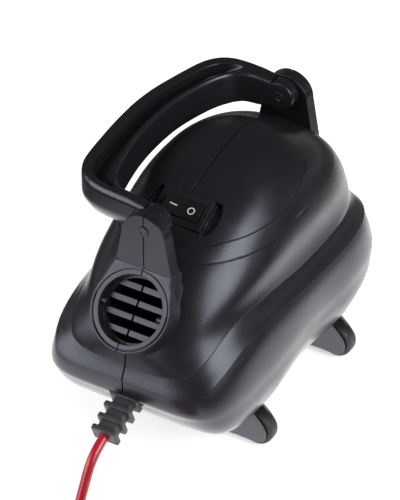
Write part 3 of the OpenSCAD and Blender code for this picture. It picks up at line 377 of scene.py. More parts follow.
def finished(thing, finishes, body="root", replaces=(), sharp=35.0):
    """Scales a drawn piece to metres, shades it and lets it ride on its body."""
    thing.data.transform(Matrix.Scale(0.001, 4))
    thing.data.materials.clear()
    for name in finishes.split():
        thing.data.materials.append(finish_named(name))
    bm = bmesh.new()
    bm.from_mesh(thing.data)
    bmesh.ops.dissolve_degenerate(bm, dist=3e-6, edges=bm.edges[:])
    for face in bm.faces:
        face.smooth = True
    for edge in bm.edges:
        edge.smooth = len(edge.link_faces) == 2 and edge.calc_face_angle(0.0) < math.radians(sharp)
    bm.to_mesh(thing.data)
    bm.free()
    shading = thing.modifiers.new("shading", "WEIGHTED_NORMAL")
    shading.keep_sharp, shading.weight = True, 60
    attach(thing, body)
    if replaces:
        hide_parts(*replaces)


def piece(name, bm, finishes, body="root", replaces=()):
    finished(loose(name, bm), finishes, body, replaces)


# ---- Finishes

def feed(tree, node, inputs):
    """Gives each input its value, or links another node's output to it."""
    for socket, value in inputs.items():
        if isinstance(value, bpy.types.NodeSocket):
            tree.links.new(value, node.inputs[socket])
        else:
            node.inputs[socket].default_value = value


def added(tree, kind, inputs=None, **settings):
    """A new shader node with its settings and inputs."""
    node = tree.nodes.new("ShaderNode" + kind)
    for name, value in settings.items():
        setattr(node, name, value)
    feed(tree, node, inputs or {})
    return node


class Finish:
    """A material under construction, on the piece's Object coordinates."""

    def __init__(self, name, base, roughness, metallic=0.0):
        self.material = bpy.data.materials.new(name)
        self.material.use_nodes = True
        self.material.diffuse_color = (*base, 1.0)
        self.tree = self.material.node_tree
        self.shader = self.tree.nodes["Principled BSDF"]
        self.base = (*base, 1.0)
        self.set({"Base Color": self.base, "Roughness": roughness, "Metallic": metallic})
        self.place = self.node("TexCoord").outputs["Object"]
        self.normal = {}

    def set(self, inputs):
        feed(self.tree, self.shader, inputs)

    def node(self, kind, inputs=None, **settings):
        return added(self.tree, kind, inputs, **settings)

    def stretched(self, stretch):
        return self.node("Mapping", {"Scale": stretch, "Vector": self.place}).outputs["Vector"]

    def noise(self, size, detail, stretch=None):
        """Noise whose features are about size metres across."""
        place = self.stretched(stretch) if stretch else self.place
        return self.node("TexNoise", {"Scale": 1.0 / size, "Detail": detail, "Vector": place}).outputs["Fac"]

    def cells(self, size):
        return self.node("TexVoronoi", {"Scale": 1.0 / size, "Vector": self.place}).outputs["Distance"]

    def bands(self, size, axis):
        """Bands side by side, each about size metres wide."""
        return self.node("TexWave", {"Scale": 0.314 / size, "Vector": self.place},
                         bands_direction=axis).outputs["Fac"]

    def pattern(self, kind, *sizes):
        return getattr(self, kind)(*sizes)

    def spread(self, value, low, high):
        """A pattern's middle values spread from low to high."""
        return self.node("MapRange", {"From Min": 0.25, "From Max": 0.75, "To Min": low, "To Max": high,
                                      "Value": value}).outputs["Result"]

    def tint(self, value, other):
        """Mixes the base colour with another one by a pattern."""
        mix = self.node("Mix", {"A": self.base, "B": (*other, 1.0), "Factor": self.spread(value, 0.0, 1.0)},
                        data_type="RGBA")
        self.set({"Base Color": mix.outputs["Result"]})

    def bend(self, kind, inputs, **settings):
        """Lets a node bend the surface's normal, on top of what bent it before."""
        self.normal = {"Normal": self.node(kind, {**inputs, **self.normal}, **settings).outputs["Normal"]}
        self.set(self.normal)


def lighter(base, by):
    return tuple(min(1.0, c * by) for c in base)


def made(name, base, roughness, relief, tint, wear=None, metallic=0.0, edges=None, more=None):
    """A finish from its patterns: relief with its height and strength, tint with its other colour, and wear
    with how far the roughness falls and rises. A tint given as a number makes the base lighter or darker."""
    f = Finish(name, base, roughness, metallic)
    if edges:
        f.bend("Bevel", {"Radius": edges}, samples=6)
    pattern, height, strength = relief
    f.bend("Bump", {"Strength": strength, "Distance": height, "Height": f.pattern(*pattern)})
    if wear:
        pattern, fall, rise = wear
        f.set({"Roughness": f.spread(f.pattern(*pattern), roughness - fall, roughness + rise)})
    pattern, other = tint
    f.tint(f.pattern(*pattern), lighter(base, other) if isinstance(other, float) else other)
    f.set(more or {})
    return f.material


# The cool, slightly strong gloss of moulded plastic.
GLOSS = {"Specular Tint": (0.82, 0.85, 1.0, 1.0), "Specular IOR Level": 0.6}


def grained_plastic(name, base, roughness, grain):
    """Satin moulded plastic with a fine spark-eroded grain and faint handling marks."""
    return made(name, base, roughness, (("noise", grain, 3.0), 0.00008, 0.65), (("noise", 0.035, 3.0), 1.25),
                (("noise", 0.02, 4.0), 0.04, 0.06), edges=0.0004, more=GLOSS)


def smooth_plastic(name, base, roughness):
    """Polished moulded plastic with the slight waviness of its tool."""
    return made(name, base, roughness, (("noise", 0.011, 2.0), 0.00008, 0.25), (("noise", 0.03, 3.0), 1.4),
                (("noise", 0.018, 4.0), 0.03, 0.06), edges=0.0003, more=GLOSS)


def rubber(name, base, roughness):
    """Soft rubber with a dry, slightly dusty skin."""
    return made(name, base, roughness, (("noise", 0.0012, 4.0), 0.00012, 0.5), (("noise", 0.009, 4.0), 1.7),
                (("noise", 0.006, 3.0), 0.1, 0.1), edges=0.0005)


def drawn_steel(name, base=(0.62, 0.63, 0.65), roughness=0.3, stretch=(1.0, 12.0, 1.0)):
    """Bright steel with fine draw marks across its length."""
    return made(name, base, roughness, (("noise", 0.0035, 5.0, stretch), 0.00003, 0.4),
                (("noise", 0.012, 3.0), 0.82), (("noise", 0.006, 4.0), 0.08, 0.12), 1.0)


def laminations(name):
    """Stamped sheets side by side, varnished."""
    return made(name, (0.2, 0.2, 0.21), 0.45, (("bands", 0.0008, "Y"), 0.0002, 0.8),
                (("noise", 0.004, 3.0), (0.12, 0.11, 0.1)), (("noise", 0.003, 2.0), 0.1, 0.15), 0.8)


def winding(name):
    """Enamelled copper wire laid side by side."""
    return made(name, (0.55, 0.2, 0.07), 0.3, (("bands", 0.0009, "X"), 0.0003, 0.9),
                (("noise", 0.003, 3.0), (0.38, 0.12, 0.03)), (("noise", 0.002, 2.0), 0.08, 0.12), 0.85)


def pressed_brass(name):
    return made(name, (0.72, 0.5, 0.2), 0.3, (("noise", 0.002, 4.0, (6.0, 1.0, 1.0)), 0.00003, 0.4),
                (("noise", 0.006, 3.0), (0.5, 0.34, 0.14)), (("noise", 0.004, 3.0), 0.06, 0.12), 1.0)


def open_foam(name):
    return made(name, (0.07, 0.07, 0.075), 0.95, (("cells", 0.0016), 0.0012, 1.0),
                (("cells", 0.0016), (0.14, 0.14, 0.145)))


def pressed_carbon(name):
    return made(name, (0.02, 0.02, 0.021), 0.55, (("noise", 0.0006, 4.0), 0.00005, 0.6),
                (("noise", 0.0015, 3.0), (0.05, 0.05, 0.05)), (("noise", 0.002, 2.0), 0.15, 0.15))


def cord_sheath(name, base):
    """Extruded cord sheath, glossy with a faint pull along its run."""
    return made(name, base, 0.22, (("noise", 0.0022, 3.0), 0.00009, 0.35), (("noise", 0.02, 3.0), 0.75),
                (("noise", 0.01, 3.0), 0.05, 0.08), more={"Coat Weight": 0.25, "Coat Roughness": 0.12})


def printed_mark(name, base):
    return made(name, base, 0.45, (("noise", 0.0004, 3.0), 0.00002, 0.5), (("noise", 0.0008, 4.0), 0.8))


def finish_named(name):
    """The finish of that name, made the first time that a piece asks for it."""
    found = bpy.data.materials.get(name)
    if found:
        return found
    scene = bpy.context.scene
    housing, switch, cord, caster = scene.dryer_housing, scene.dryer_switch, scene.dryer_cord, scene.dryer_caster
    black = tuple(housing.plastic)
    maker, *settings = {
        "satin_black": (grained_plastic, black, housing.roughness, housing.grain),
        "handle_black": (grained_plastic, black, housing.roughness - 0.06, housing.grain),
        "band_black": (smooth_plastic, black, housing.band_roughness),
        "switch_black": (smooth_plastic, tuple(switch.plastic), 0.2),
        "bezel_black": (grained_plastic, lighter(black, 0.8), 0.4, housing.grain),
        "mark_white": (printed_mark, tuple(switch.mark)),
        "relief_rubber": (rubber, tuple(cord.rubber), 0.5),
        "sheath_red": (cord_sheath, tuple(cord.sheath)),
        "plug_red": (smooth_plastic, tuple(cord.sheath), 0.3),
        # The fork's grey is partly its own colour and partly painted sheen of black plastic in grazing light.
        "fork_grey": (grained_plastic, tuple(caster.fork), 0.34, housing.grain),
        "tyre_black": (rubber, tuple(caster.tyre), 0.55),
        "mount_rubber": (rubber, (0.02, 0.02, 0.02), 0.7),
        "steel": (drawn_steel,),
        "motor_steel": (drawn_steel, (0.5, 0.51, 0.52), 0.38, (1.0, 1.0, 9.0)),
        "laminations": (laminations,),
        "winding": (winding,),
        "brass": (pressed_brass,),
        "carbon": (pressed_carbon,),
        "fan_white": (smooth_plastic, (0.7, 0.7, 0.66), 0.35),
        "foam": (open_foam,),
        "lead_brown": (cord_sheath, (0.16, 0.06, 0.02)),
        "lead_blue": (cord_sheath, (0.02, 0.06, 0.35)),
    }[name]
    return maker(name, *settings)


# ---- Housing

def bell(y):
    return (1 + math.cos(math.pi * y / CASTER_BASE)) / 2 if abs(y) < CASTER_BASE else 0.0


def form_point(v, turn, inset=0.0):
    """A point of the housing's form: v counts its rows upwards, turn runs from the nose (0) to the tail (180)."""
    if v > CROWN_ROW:
        rim, w = form_point(CROWN_ROW, turn, inset), v - CROWN_ROW
        return Vector((rim.x * (1 - w), CROWN_Y + (rim.y - CROWN_Y) * (1 - w),
                       rim.z + (BODY_TOP - inset - rim.z) * (1 - (1 - w) ** 2)))
    if v < 0:
        rim = form_point(0, turn, inset)
        return Vector((rim.x * (1 + v), rim.y * (1 + v), rim.z))
    height, wide, nose, tail, square_nose, square_tail, brow = row_of(FORM, v)
    angle = math.radians(turn)
    across, along = abs(math.sin(angle)), abs(math.cos(angle))
    ahead = math.cos(angle) > 0
    n = square_nose if ahead else square_tail
    size = (across ** n + along ** n) ** (-1 / n)
    across, along = across * size, along * size
    y = (inset - nose * NOSE) * along if ahead else (tail * TAIL - inset) * along
    x = (wide * BODY_WIDTH / 2 - inset) * across - WAIST * bell(y) * max(0.0, 1 - 2.5 * height) * across ** (n / 2)
    z = SOLE + inset + height * (BODY_TOP - SOLE - 2 * inset)
    if ahead:
        z -= BROW * brow * along ** (0.75 * n)
    return Vector((x if math.sin(angle) >= 0 else -x, y, z))


def form_normal(v, turn):
    up = form_point(min(v + 0.05, CROWN_ROW + 0.9), turn) - form_point(max(v - 0.05, 0.0), turn)
    round_ = form_point(v, turn + 0.5) - form_point(v, turn - 0.5)
    return round_.cross(up).normalized()


def skin_rows(s):
    """The skin's rows, sole to crown: how each finds its place at a turn, how far it stands out, and its finish."""
    band, groove = 1000 * s.band, 1000 * s.groove
    low, high, brow, dome = ((lambda t, knots=knots: line_at(knots, t))
                             for knots in (BAND_LOW, BAND_HIGH, BROW_LINE, DOME_LINE))

    def none(t):
        return 0.0

    def crown(t):
        return CAP_RISE

    def beside(line, by):
        return lambda t: line(t) + by

    def between(a, b, count, out=none, finish=SATIN):
        for k in range(count):
            rows.append(((lambda t, f=k / count: a(t) * (1 - f) + b(t) * f), out, finish))
    rows = [((lambda t, k=k: -1 + k / 3), none, SATIN) for k in range(3)]
    between(none, beside(low, -0.015), 20)
    between(beside(low, -0.015), low, 1, none, SMOOTH)
    for k in range(7):
        rows.append(((lambda t, f=k / 6: low(t) * (1 - f) + high(t) * f),
                     (lambda t, f=k / 6: band * (BAND_PROUD - BAND_FALL * f)), SMOOTH))
    between(beside(high, 0.045), beside(brow, -0.03), 11)
    between(beside(brow, -0.03), brow, 1)
    between(brow, beside(brow, 0.03), 1, lambda t: -groove * clamp((100 - t) / 20))
    between(beside(brow, 0.03), beside(dome, -0.028), 10)
    between(beside(dome, -0.028), dome, 1)
    between(dome, beside(dome, 0.028), 1, lambda t: -groove)
    between(beside(dome, 0.028), lambda t: CROWN_ROW, 11, crown)
    return rows + [((lambda t, k=k: CROWN_ROW + k / 5), crown, SATIN) for k in range(6)]


def skin_half(s):
    """The right half of the housing's form as a solid, with its moulded lines and a softened lip at the seam."""
    rows, seam = skin_rows(s), 1000 * s.seam
    turns = [0.0, 0.0] + [k * 2.4 for k in range(1, 75)] + [180.0, 180.0]
    last = len(turns) - 1
    cache = {}

    def place(i, j):
        if (i, j) not in cache:
            where, out, _ = rows[j]
            v, skin = where(turns[i]), 0 < i < last
            away = form_normal(v, turns[i]) if v >= 0 else Vector((0, 0, -1))
            point = form_point(v, turns[i]) + away * (out(turns[i]) - LIP_DEPTH * (not skin))
            point.x = max(point.x, seam + LIP_WIDTH * skin)
            cache[i, j] = point
        return cache[i, j]
    return rolled(bmesh.new(), last, len(rows) - 1, place, closed=False, finish=lambda j: rows[j][2])


def inner_half(inset, x):
    """The right half of the housing's form as a solid, inset below the skin."""
    turns = [0.0] + [k * 3.0 for k in range(1, 60)] + [180.0]
    levels = [-1.0] + [k / 4 for k in range(4 * CROWN_ROW + 1)] + [CROWN_ROW + 1.0]

    def place(i, j):
        point = form_point(levels[j], turns[i], inset)
        point.x = x if i in (0, len(turns) - 1) else max(point.x, x)
        return point
    return rolled(bmesh.new(), len(turns) - 1, len(levels) - 1, place, closed=False)


def collar(x):
    """The moulded ring round the outlet: a flat face, a fine groove, a rim, and a boss that swells into the nose."""
    return clipped(spun([
        (21, -COLLAR_DEPTH), (21, 0), (27.2, 0), (27.6, -0.15), (27.8, -0.5), (27.8, -1.5), (28.45, -1.5),
        (28.45, -0.5), (28.7, -0.15), (29.1, 0), (29.7, 0), (30.1, -0.2), (30.3, -0.7), (30.4, -8), (30.7, -13.5),
        (31.5, -17), (33, -20), (35, -23), (37.5, -28), (38.5, -36), (30, -COLLAR_DEPTH)], AT_OUTLET, 144),
        x, SEAM_EDGE)


def shelf(x):
    """The wedge between the ring and the front post, with its flanks."""
    side = [(28.4, 3, 1), (28.2, 9, 3), (20.6, 36, 1.5)]
    outline = rounded(side + [(-px, py, r) for px, py, r in reversed(side)])
    return clipped(plate(outline, -16, 0, 0.4, AT_OUTLET, 2, (False, True)), x, SEAM_EDGE)


def post(y, foot, x):
    """A round-topped post that flares at its foot."""
    ends = [(-px, pz, r) for px, pz, r in [(POST_RADIUS, POST_CENTRE, 0)] + foot]
    ends += [(-px, pz, r) for px, pz, r in reversed(ends)]
    outline = arc(POST_RADIUS, 0, 180, 20, POST_CENTRE) + rounded(ends, 3)[4:-4]
    return clipped(plate(outline, 0, POST_DEPTH, 1.1, at(0, y + POST_DEPTH, 0, 90), 3), x, SEAM_EDGE)


def recess_end(middle):
    """The switch recess's round end between its straight edges."""
    half = math.degrees(math.asin(RECESS_SIDE / RECESS_RADIUS))
    return arc(RECESS_RADIUS, middle - half, middle + half, 12)


def box(low, high, matrix=Matrix(), edge=0.0):
    bm = bmesh.new()
    bmesh.ops.create_cube(bm, size=1)
    bmesh.ops.scale(bm, vec=[h - l for l, h in zip(low, high)], verts=bm.verts[:])
    bmesh.ops.translate(bm, vec=[(l + h) / 2 for l, h in zip(low, high)], verts=bm.verts[:])
    if edge:
        bevelled(bm, bm.edges[:], edge, 2)
    return moved(bm, matrix)


def centred(wide, tall, low, high, matrix):
    """A box about its matrix's z axis."""
    return box((-wide / 2, -tall / 2, low), (wide / 2, tall / 2, high), matrix)


def rod(radius, low, high, matrix, steps=48):
    return spun([(0, low), (radius, low), (radius, high), (0, high)], matrix, steps)


def scoop():
    """The smooth hollow beyond one end of the switch, swept round the recess."""
    bm = spun([(SWITCH_END, -5.0), (21.2, -5.6), (22.4, -6.6), (23.8, -6.95), (25.2, -6.8), (26.4, -6.2), (27.4, -5.2),
               (RECESS_RADIUS, -3.8), (RECESS_RADIUS, 30), (SWITCH_END, 30)], Matrix(), 96)
    for side in (1, -1):
        sliced(bm, (0, side * RECESS_SIDE, 0), (0, -side, 0))
    return clipped(moved(bm, AT_SWITCH), 5)


def casing_cuts(left):
    """The openings in one half of the shell, drawn for the right half."""
    yield spun([(0, -48), (22.5, -48), (22.5, -9), (BORE, -9), (BORE, -0.8), (24.25, -0.2), (24.8, 0.25), (26, 0.6),
                (26, 12), (0, 12)], AT_OUTLET, 96)
    yield spun([(27.75, -1.5), (28.45, -1.5), (28.45, 3), (27.75, 3)], AT_OUTLET, 112)
    yield box((-21.5, 29.6, -1.4), (21.5, 30.6, 3), AT_OUTLET)
    yield plate(recess_end(0) + recess_end(180), -2.5, 30, 0, AT_SWITCH)
    if left:
        edges = [(SWITCH_END, RECESS_SIDE), (SWITCH_END, -RECESS_SIDE)]
        yield plate(recess_end(0) + edges, -7, 30, 0, AT_SWITCH)
    else:
        yield scoop()
    yield centred(34.1, 18.9, -40, 20, AT_SWITCH)
    for y in (-CASTER_BASE, CASTER_BASE):
        yield rod(5.05, 20, 46, at(CASTER_TRACK, y, 0))
    for y in (-118, 79):
        yield rod(PIN_HOLE, 0, 16, at(0, y, PIVOT, -90))
    yield plate(oblong(68, 48, 0.8, 2), 0, 60, 0, AT_INLET)
    yield centred(23, 17, 0, 20, AT_RELIEF)
    yield centred(14.1, 10.1, -6, 6, AT_RELIEF)
    yield centred(20, 16, -7.4, -4, AT_RELIEF)
    if left:
        for y, z in SCREWS:
            yield rod(SCREW_WELL, 12, 90, at(0, y, z, 90, "Y"), 32)


def guard_bars(x):
    """The four bars across the outlet, each split at the seam."""
    for k in (-1.5, -0.5, 0.5, 1.5):
        h = k * BAR_PITCH
        yield box((x, h - BAR_HALF, -12), (math.sqrt(BORE ** 2 - h * h) + 1.5, h + BAR_HALF, -9), AT_OUTLET, 0.55)


def housing(side, s):
    """One half of the housing, in place of its plain casing."""
    left = side == "left"
    seam = 1000 * s.seam
    half = loose("housing_" + side, skin_half(s))
    for name in ("satin_black", "band_black"):
        half.data.materials.append(finish_named(name))
    worked(half, inner_half(1000 * s.wall, -1.0), "DIFFERENCE")
    for extra in (collar(seam), shelf(seam), post(FRONT_POST, FRONT_FOOT, seam), post(REAR_POST, REAR_FOOT, seam)):
        worked(half, extra, "UNION")
    inside = loose("inside", inner_half(KEPT_INSET, seam))
    source = bmesh.new()
    source.from_mesh(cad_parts[side + "_casing"].data)
    bmesh.ops.remove_doubles(source, verts=source.verts[:], dist=1e-6)
    bmesh.ops.scale(source, vec=(1000, 1000, 1000), verts=source.verts[:])
    worked(inside, mirrored(source) if left else source, "INTERSECT")
    kept = bmesh.new()
    kept.from_mesh(inside.data)
    discard(inside)
    for cut in casing_cuts(left):
        worked(half, cut, "DIFFERENCE")
    worked(half, kept, "UNION")
    for bar in guard_bars(0.5):
        worked(half, bar, "UNION")
    if left:
        half.data.transform(Matrix.Scale(-1, 4, (1, 0, 0)))
        half.data.flip_normals()
    return half


class DRYER_OT_housing(Operator):
    """Build the two moulded halves of the housing with their seam, band, posts, outlet and switch recess"""
    bl_idname = "dryer.housing"
    bl_label = "Housing"

    def execute(self, context):
        for side in ("right", "left"):
            half = housing(side, context.scene.dryer_housing)
            finished(half, "satin_black band_black", "root", [side + "_casing"], 38.0)
        return {"FINISHED"}


class DRYER_OT_pegs(Operator):
    """Add the two bayonet pegs inside the outlet that lock a nozzle or hose"""
    bl_idname = "dryer.pegs"
    bl_label = "Bayonet pegs"

    def execute(self, context):
        for side, name in ((-1, "bayonet_peg_left"), (1, "bayonet_peg_right")):
            place = AT_OUTLET @ at(side * 24.4, 0, -4.5, 90 * side, "Y") @ at(0, 0, -4.4)
            piece(name, spun([(0, 4.4), (2.5, 4.4), (2.5, 0.5), (2.35, 0.12), (2.0, 0), (0, 0)], place, 40),
                  "satin_black", "root")
        return {"FINISHED"}


# ---- Handle and its pins

def grip_section(v, edge):
    """The handle's section: a flat outer rim, a deep channel beside it and a floor that rises to the inner edge."""
    ox, oy, ix, iy, deep, thick = row_of(GRIP, v)
    outer, inner = Vector((ox, oy)), Vector((ix, iy))
    c, out, w = (outer + inner) / 2, (outer - inner).normalized(), (outer - inner).length / 2
    t, deep, front = 13 * clamp(thick), clamp(deep), clamp((7.5 - v) / 2)
    d, rim, lean = 9.5 * deep, min(7.4, w - 1), 2.6 * deep
    shape = rounded([(w - 4.6, -t, 2), (w, 8 - t, 3.5), (w - 0.5 * front, t - 3.4 * front, 0.3 + 2 * front),
                     (w - 3.2 * front, t, edge * 0.8), (w - max(rim, 5.4 * front), t, 0.6), (w - rim - 1.0, t - d, 1.0),
                     (w - rim - 2.6, t - d, 1.5), (2.2 - w, t - 0.1 * d, 1.6), (-w, t - 1.8 - 0.1 * d, 2.6),
                     (-w - lean, -t, edge)], 5)
    return [Vector((c.x + out.x * n, c.y + out.y * n, PIVOT + z)) for n, z in shape]


class DRYER_OT_handle(Operator):
    """Build the folding carry handle with its grip channel and the two pins it swings on"""
    bl_idname = "dryer.handle"
    bl_label = "Handle"

    def execute(self, context):
        s, steps = context.scene.dryer_handle, 126
        sections = [grip_section((len(GRIP) - 1) * j / steps, 1000 * s.edge) for j in range(steps + 1)]
        handle = loose("handle_grip", rolled(bmesh.new(), len(sections[0]), steps, lambda i, j: sections[j][i]))
        for y in LUG_STARTS:
            lug = both_ends([(0, 0), (9.8, 0), (10.8, 0.4), (11.4, 1.4)], LUG_WIDTH)
            worked(handle, spun(lug, at(0, y, PIVOT, -90), 72), "UNION")
        for y in (-106, 69):
            worked(handle, rod(PIN_HOLE, 0, 14, at(0, y, PIVOT, -90)), "DIFFERENCE")
        finished(handle, "handle_black", "handle", ["carry_handle"])
        r = 500 * s.pin
        tip = [(0, 0.5), (r - 1.6, 0.5), (r - 1.3, 0.15), (r - 0.6, 0), (r - 0.15, 0.15), (r, 0.6)]
        pins = [spun(both_ends(tip, PIN_LENGTH), at(0, y, PIVOT, -90), 56) for y in PIN_STARTS]
        piece("handle_pivots", joined(*pins), "handle_black", "root", ["handle_pins"])
        return {"FINISHED"}


# ---- Switch

def rocker_height(x):
    return ROCKER_LOW + ROCKER_RISE * abs(x / ROCKER_HALF) ** ROCKER_CURVE


def rocker_profile():
    top = [(ROCKER_HALF * (k / 8 - 1), rocker_height(ROCKER_HALF * (k / 8 - 1))) for k in range(17)]
    return top + rounded([(ROCKER_HALF, -1.5, 1), (5, -8, 2), (-5, -8, 2), (-ROCKER_HALF, -1.5, 1)], 3)


def rocker_place():
    return AT_SWITCH @ at(0, 0, -HINGE_DEPTH, 8, "Y")


def on_rocker(x):
    """A place on the rocker's top at x, with its z along the surface's normal."""
    steepness = ROCKER_RISE * ROCKER_CURVE / ROCKER_HALF * abs(x / ROCKER_HALF) ** (ROCKER_CURVE - 1)
    tilt = -math.degrees(math.atan(math.copysign(steepness, x)))
    return rocker_place() @ at(x, 0, rocker_height(x), tilt, "Y")


class DRYER_OT_switch(Operator):
    """Build the rocker switch, its frame, its on and off marks and the ribs beside it"""
    bl_idname = "dryer.switch"
    bl_label = "Switch"

    def execute(self, context):
        s = context.scene.dryer_switch
        bezel = loose("switch_bezel", plate(oblong(40, 26, 1.6), -2.5, 1.2, 0.45, AT_SWITCH, 2, (False, True)))
        worked(bezel, plate(oblong(34, 18.8, 0.8, 2), -26.5, 0, 0, AT_SWITCH), "UNION")
        worked(bezel, plate(oblong(30.4, 14.8, 0.5, 2), -24.5, 6, 0, AT_SWITCH), "DIFFERENCE")
        worked(bezel, plate(oblong(31.6, 16, 0.8, 2), 0.6, 6, 0, AT_SWITCH), "DIFFERENCE")
        worked(bezel, rod(1.55, -8.6, 8.6, AT_SWITCH @ at(0, 0, -HINGE_DEPTH, -90), 24), "DIFFERENCE")
        finished(bezel, "bezel_black", "root", ["switch_frame"])
        rocker = loose("switch_paddle", plate(rocker_profile(), -7, 7, 0.5, rocker_place() @ at(0, 0, 0, 90), 2))
        worked(rocker, rod(1.5, -8.5, 8.5, rocker_place() @ ALONG_Y, 24), "UNION")
        finished(rocker, "switch_black", "rocker", ["switch_rocker"], 30.0)
        w = 1000 * s.stroke
        bar = plate(oblong(5.6, w, 0.3, 2), -0.25, 0.05, 0, on_rocker(-7.0))
        ring = spun([(2.75 - w, -0.25), (2.75, -0.25), (2.75, 0.05), (2.75 - w, 0.05)], on_rocker(6.6), 48)
        piece("mark_on", bar, "mark_white", "rocker")
        piece("mark_off", ring, "mark_white", "rocker")
        ribs = [box((x - 0.45, -half, -7.6), (x + 0.45, half, -2.6), AT_SWITCH, 0.3)
                for x, half in ((-22.2, 10.5), (-24.0, 9.5), (-25.8, 7.5))]
        piece("recess_ribs", joined(*ribs), "satin_black", "root")
        return {"FINISHED"}


# ---- Cord, strain relief and plug

RELIEF_END = Vector((0, RELIEF_Y - RELIEF_LENGTH * math.cos(RELIEF_TILT),
                     RELIEF_Z - RELIEF_LENGTH * math.sin(RELIEF_TILT)))

# The cord's fall: how far it lies ahead of the strain relief's end, and the share of the height left.
CORD_FALL = ((11.9, 0.900), (16.4, 0.836), (20.2, 0.761), (22.7, 0.690), (28.7, 0.495), (34.7, 0.300),
             (38.6, 0.199), (43.6, 0.114), (49.4, 0.051), (55.8, 0.013), (62.4, 0.0), (69.4, 0.002))


def ease(a):
    return (1 - math.cos(math.pi * a)) / 2


def coil_point(t, per_layer):
    """A point of the coil after t turns: it winds in and out in layers, each a cord above the last."""
    k = min(COIL_LAYERS - 1, int(t // per_layer))
    u = t - k * per_layer
    level = float(k)
    if u > per_layer - 0.25 and k < COIL_LAYERS - 1:
        level += ease((u - per_layer + 0.25) * 2)
    elif u < 0.25 and k > 0:
        level += ease(0.5 + u * 2) - 1
    r = COIL_RADIUS - COIL_PITCH * (u if k % 2 == 0 else per_layer - u)
    a = math.pi + math.tau * t
    return Vector((COIL_X + r * math.cos(a), COIL_Y + r * math.sin(a), COIL_BASE + COIL_PITCH * level))


def cord_run(s):
    """The cord's centreline: down from the strain relief, to the coil, and out to the plug."""
    lies = 500 * s.diameter + 0.05
    run = [RELIEF_END, RELIEF_END + 7.5 * Vector((0, -math.cos(RELIEF_TILT), -math.sin(RELIEF_TILT)))]
    run += [Vector((0, RELIEF_END.y - ahead, lies + left * (RELIEF_END.z - lies))) for ahead, left in CORD_FALL]
    run += [Vector((0, -245, COIL_BASE - 0.5)), Vector((0, -252, COIL_BASE)), Vector((0, -260, COIL_BASE))]
    run += [coil_point(k / 24, s.turns / COIL_LAYERS) for k in range(s.turns * 24 + 1)]
    last = run[-1]
    drop = last.z - PLUG_RADIUS
    run += [last + Vector((0, -10 - 7 * k, -drop * ease(k / 6))) for k in range(7)]
    return run + [last + Vector((0, -PLUG_REACH, -drop))]


class DRYER_OT_cord(Operator):
    """Lay the mains cord from its strain relief to the tied coil and the plug"""
    bl_idname = "dryer.cord"
    bl_label = "Cord and plug"

    def execute(self, context):
        s = context.scene.dryer_cord
        points = cord_run(s)
        curve = bpy.data.curves.new("mains_lead", "CURVE")
        curve.dimensions = "3D"
        curve.bevel_depth = s.diameter / 2
        curve.bevel_resolution = 4
        curve.use_fill_caps = True
        line = curve.splines.new("POLY")
        line.points.add(len(points) - 1)
        for spot, point in zip(line.points, points):
            spot.co = (*(point * 0.001), 1.0)
        line.use_smooth = True
        cord = bpy.data.objects.new("mains_lead", curve)
        context.scene.collection.objects.link(cord)
        curve.materials.append(finish_named("sheath_red"))
        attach(cord, "root")
        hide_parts("mains_cord", "cord_coil")

        to_front = Matrix.Translation(points[-1]) @ at(0, 0, 0, 90)
        profile = [(0, 0), (5.2, 0), (5.8, 0.5), (6.0, 1.2)]
        for k in range(5):
            r, z = 6.2 + 0.45 * k, 2.6 + k * 2.7
            profile += [(r, z), (r + 0.8, z + 0.35), (r + 0.8, z + 1.3), (r + 0.1, z + 1.65)]
        profile += [(9.4, 19.4), (11.6, 21.6), (14, 23.9), (16.6, 26.2), (17.7, 28), (PLUG_RADIUS, 30),
                    (PLUG_RADIUS, 43.6), (17.7, 45), (16.8, 45.8), (15.6, 46), (0, 46)]
        plug = loose("plug_cap", spun(profile, to_front, 72))
        for x in (-PLUG_RADIUS, PLUG_RADIUS):
            for k in range(4):
                z = 30.6 + 3.2 * k
                worked(plug, box((x - 1.0, -9, z), (x + 1.0, 9, z + 1.4), to_front, 0.4), "DIFFERENCE")
        finished(plug, "plug_red", "root", ["plug_body"])
        pin = [(0, 45.5), (2.4, 45.5), (2.4, 62.5), (2.2, 63.8), (1.5, 64.7), (0, 65)]
        pins = [spun(pin, to_front @ at(x, 0, 0), 40) for x in (-9.5, 9.5)]
        piece("plug_contacts", joined(*pins), "steel", "root", ["plug_pins"])

        upright = at(0, -263.5, 0, 90)
        outer = rounded([(85.9, 0.15, 3), (128.1, 0.15, 3), (129.1, 4, 1), (129.1, 31, 3), (126, 34, 3),
                         (88, 34, 3), (84.9, 31, 3), (84.9, 4, 1)], 3)
        inner = rounded([(86.7, 1.05, 2), (127.3, 1.05, 2), (128.1, 3, 1), (128.1, 30.8, 2), (125.6, 33, 2),
                         (88.4, 33, 2), (85.9, 30.8, 2), (85.9, 3, 1)], 3)
        tie = loose("lead_tie", plate(outer, 0, 9, 0.3, upright, 2))
        worked(tie, plate(inner, -2, 11, 0, upright), "DIFFERENCE")
        finished(tie, "relief_rubber", "root", ["cord_tie"])

        return {"FINISHED"}


class DRYER_OT_relief(Operator):
    """Build the flanged rubber strain relief in the nose"""
    bl_idname = "dryer.relief"
    bl_label = "Strain relief"

    def execute(self, context):
        relief = loose("cord_relief", plate(oblong(14, 10, 1.5), -4.5, RELIEF_LENGTH, 0.6, AT_RELIEF, 2, (False, True)))
        worked(relief, plate(oblong(18, 14, 1), -7, -4, 0.3, AT_RELIEF), "UNION")
        for k in range(4):
            size, z = 1 - 0.1 * k / 3, k / 3 * 29
            worked(relief, plate(oblong(22 * size, 16 * size, 2.2), z, z + 4.0, 0.9, AT_RELIEF, 3), "UNION")
        finished(relief, "relief_rubber", "root", ["strain_relief"])
        return {"FINISHED"}


# ---- Inlet grille

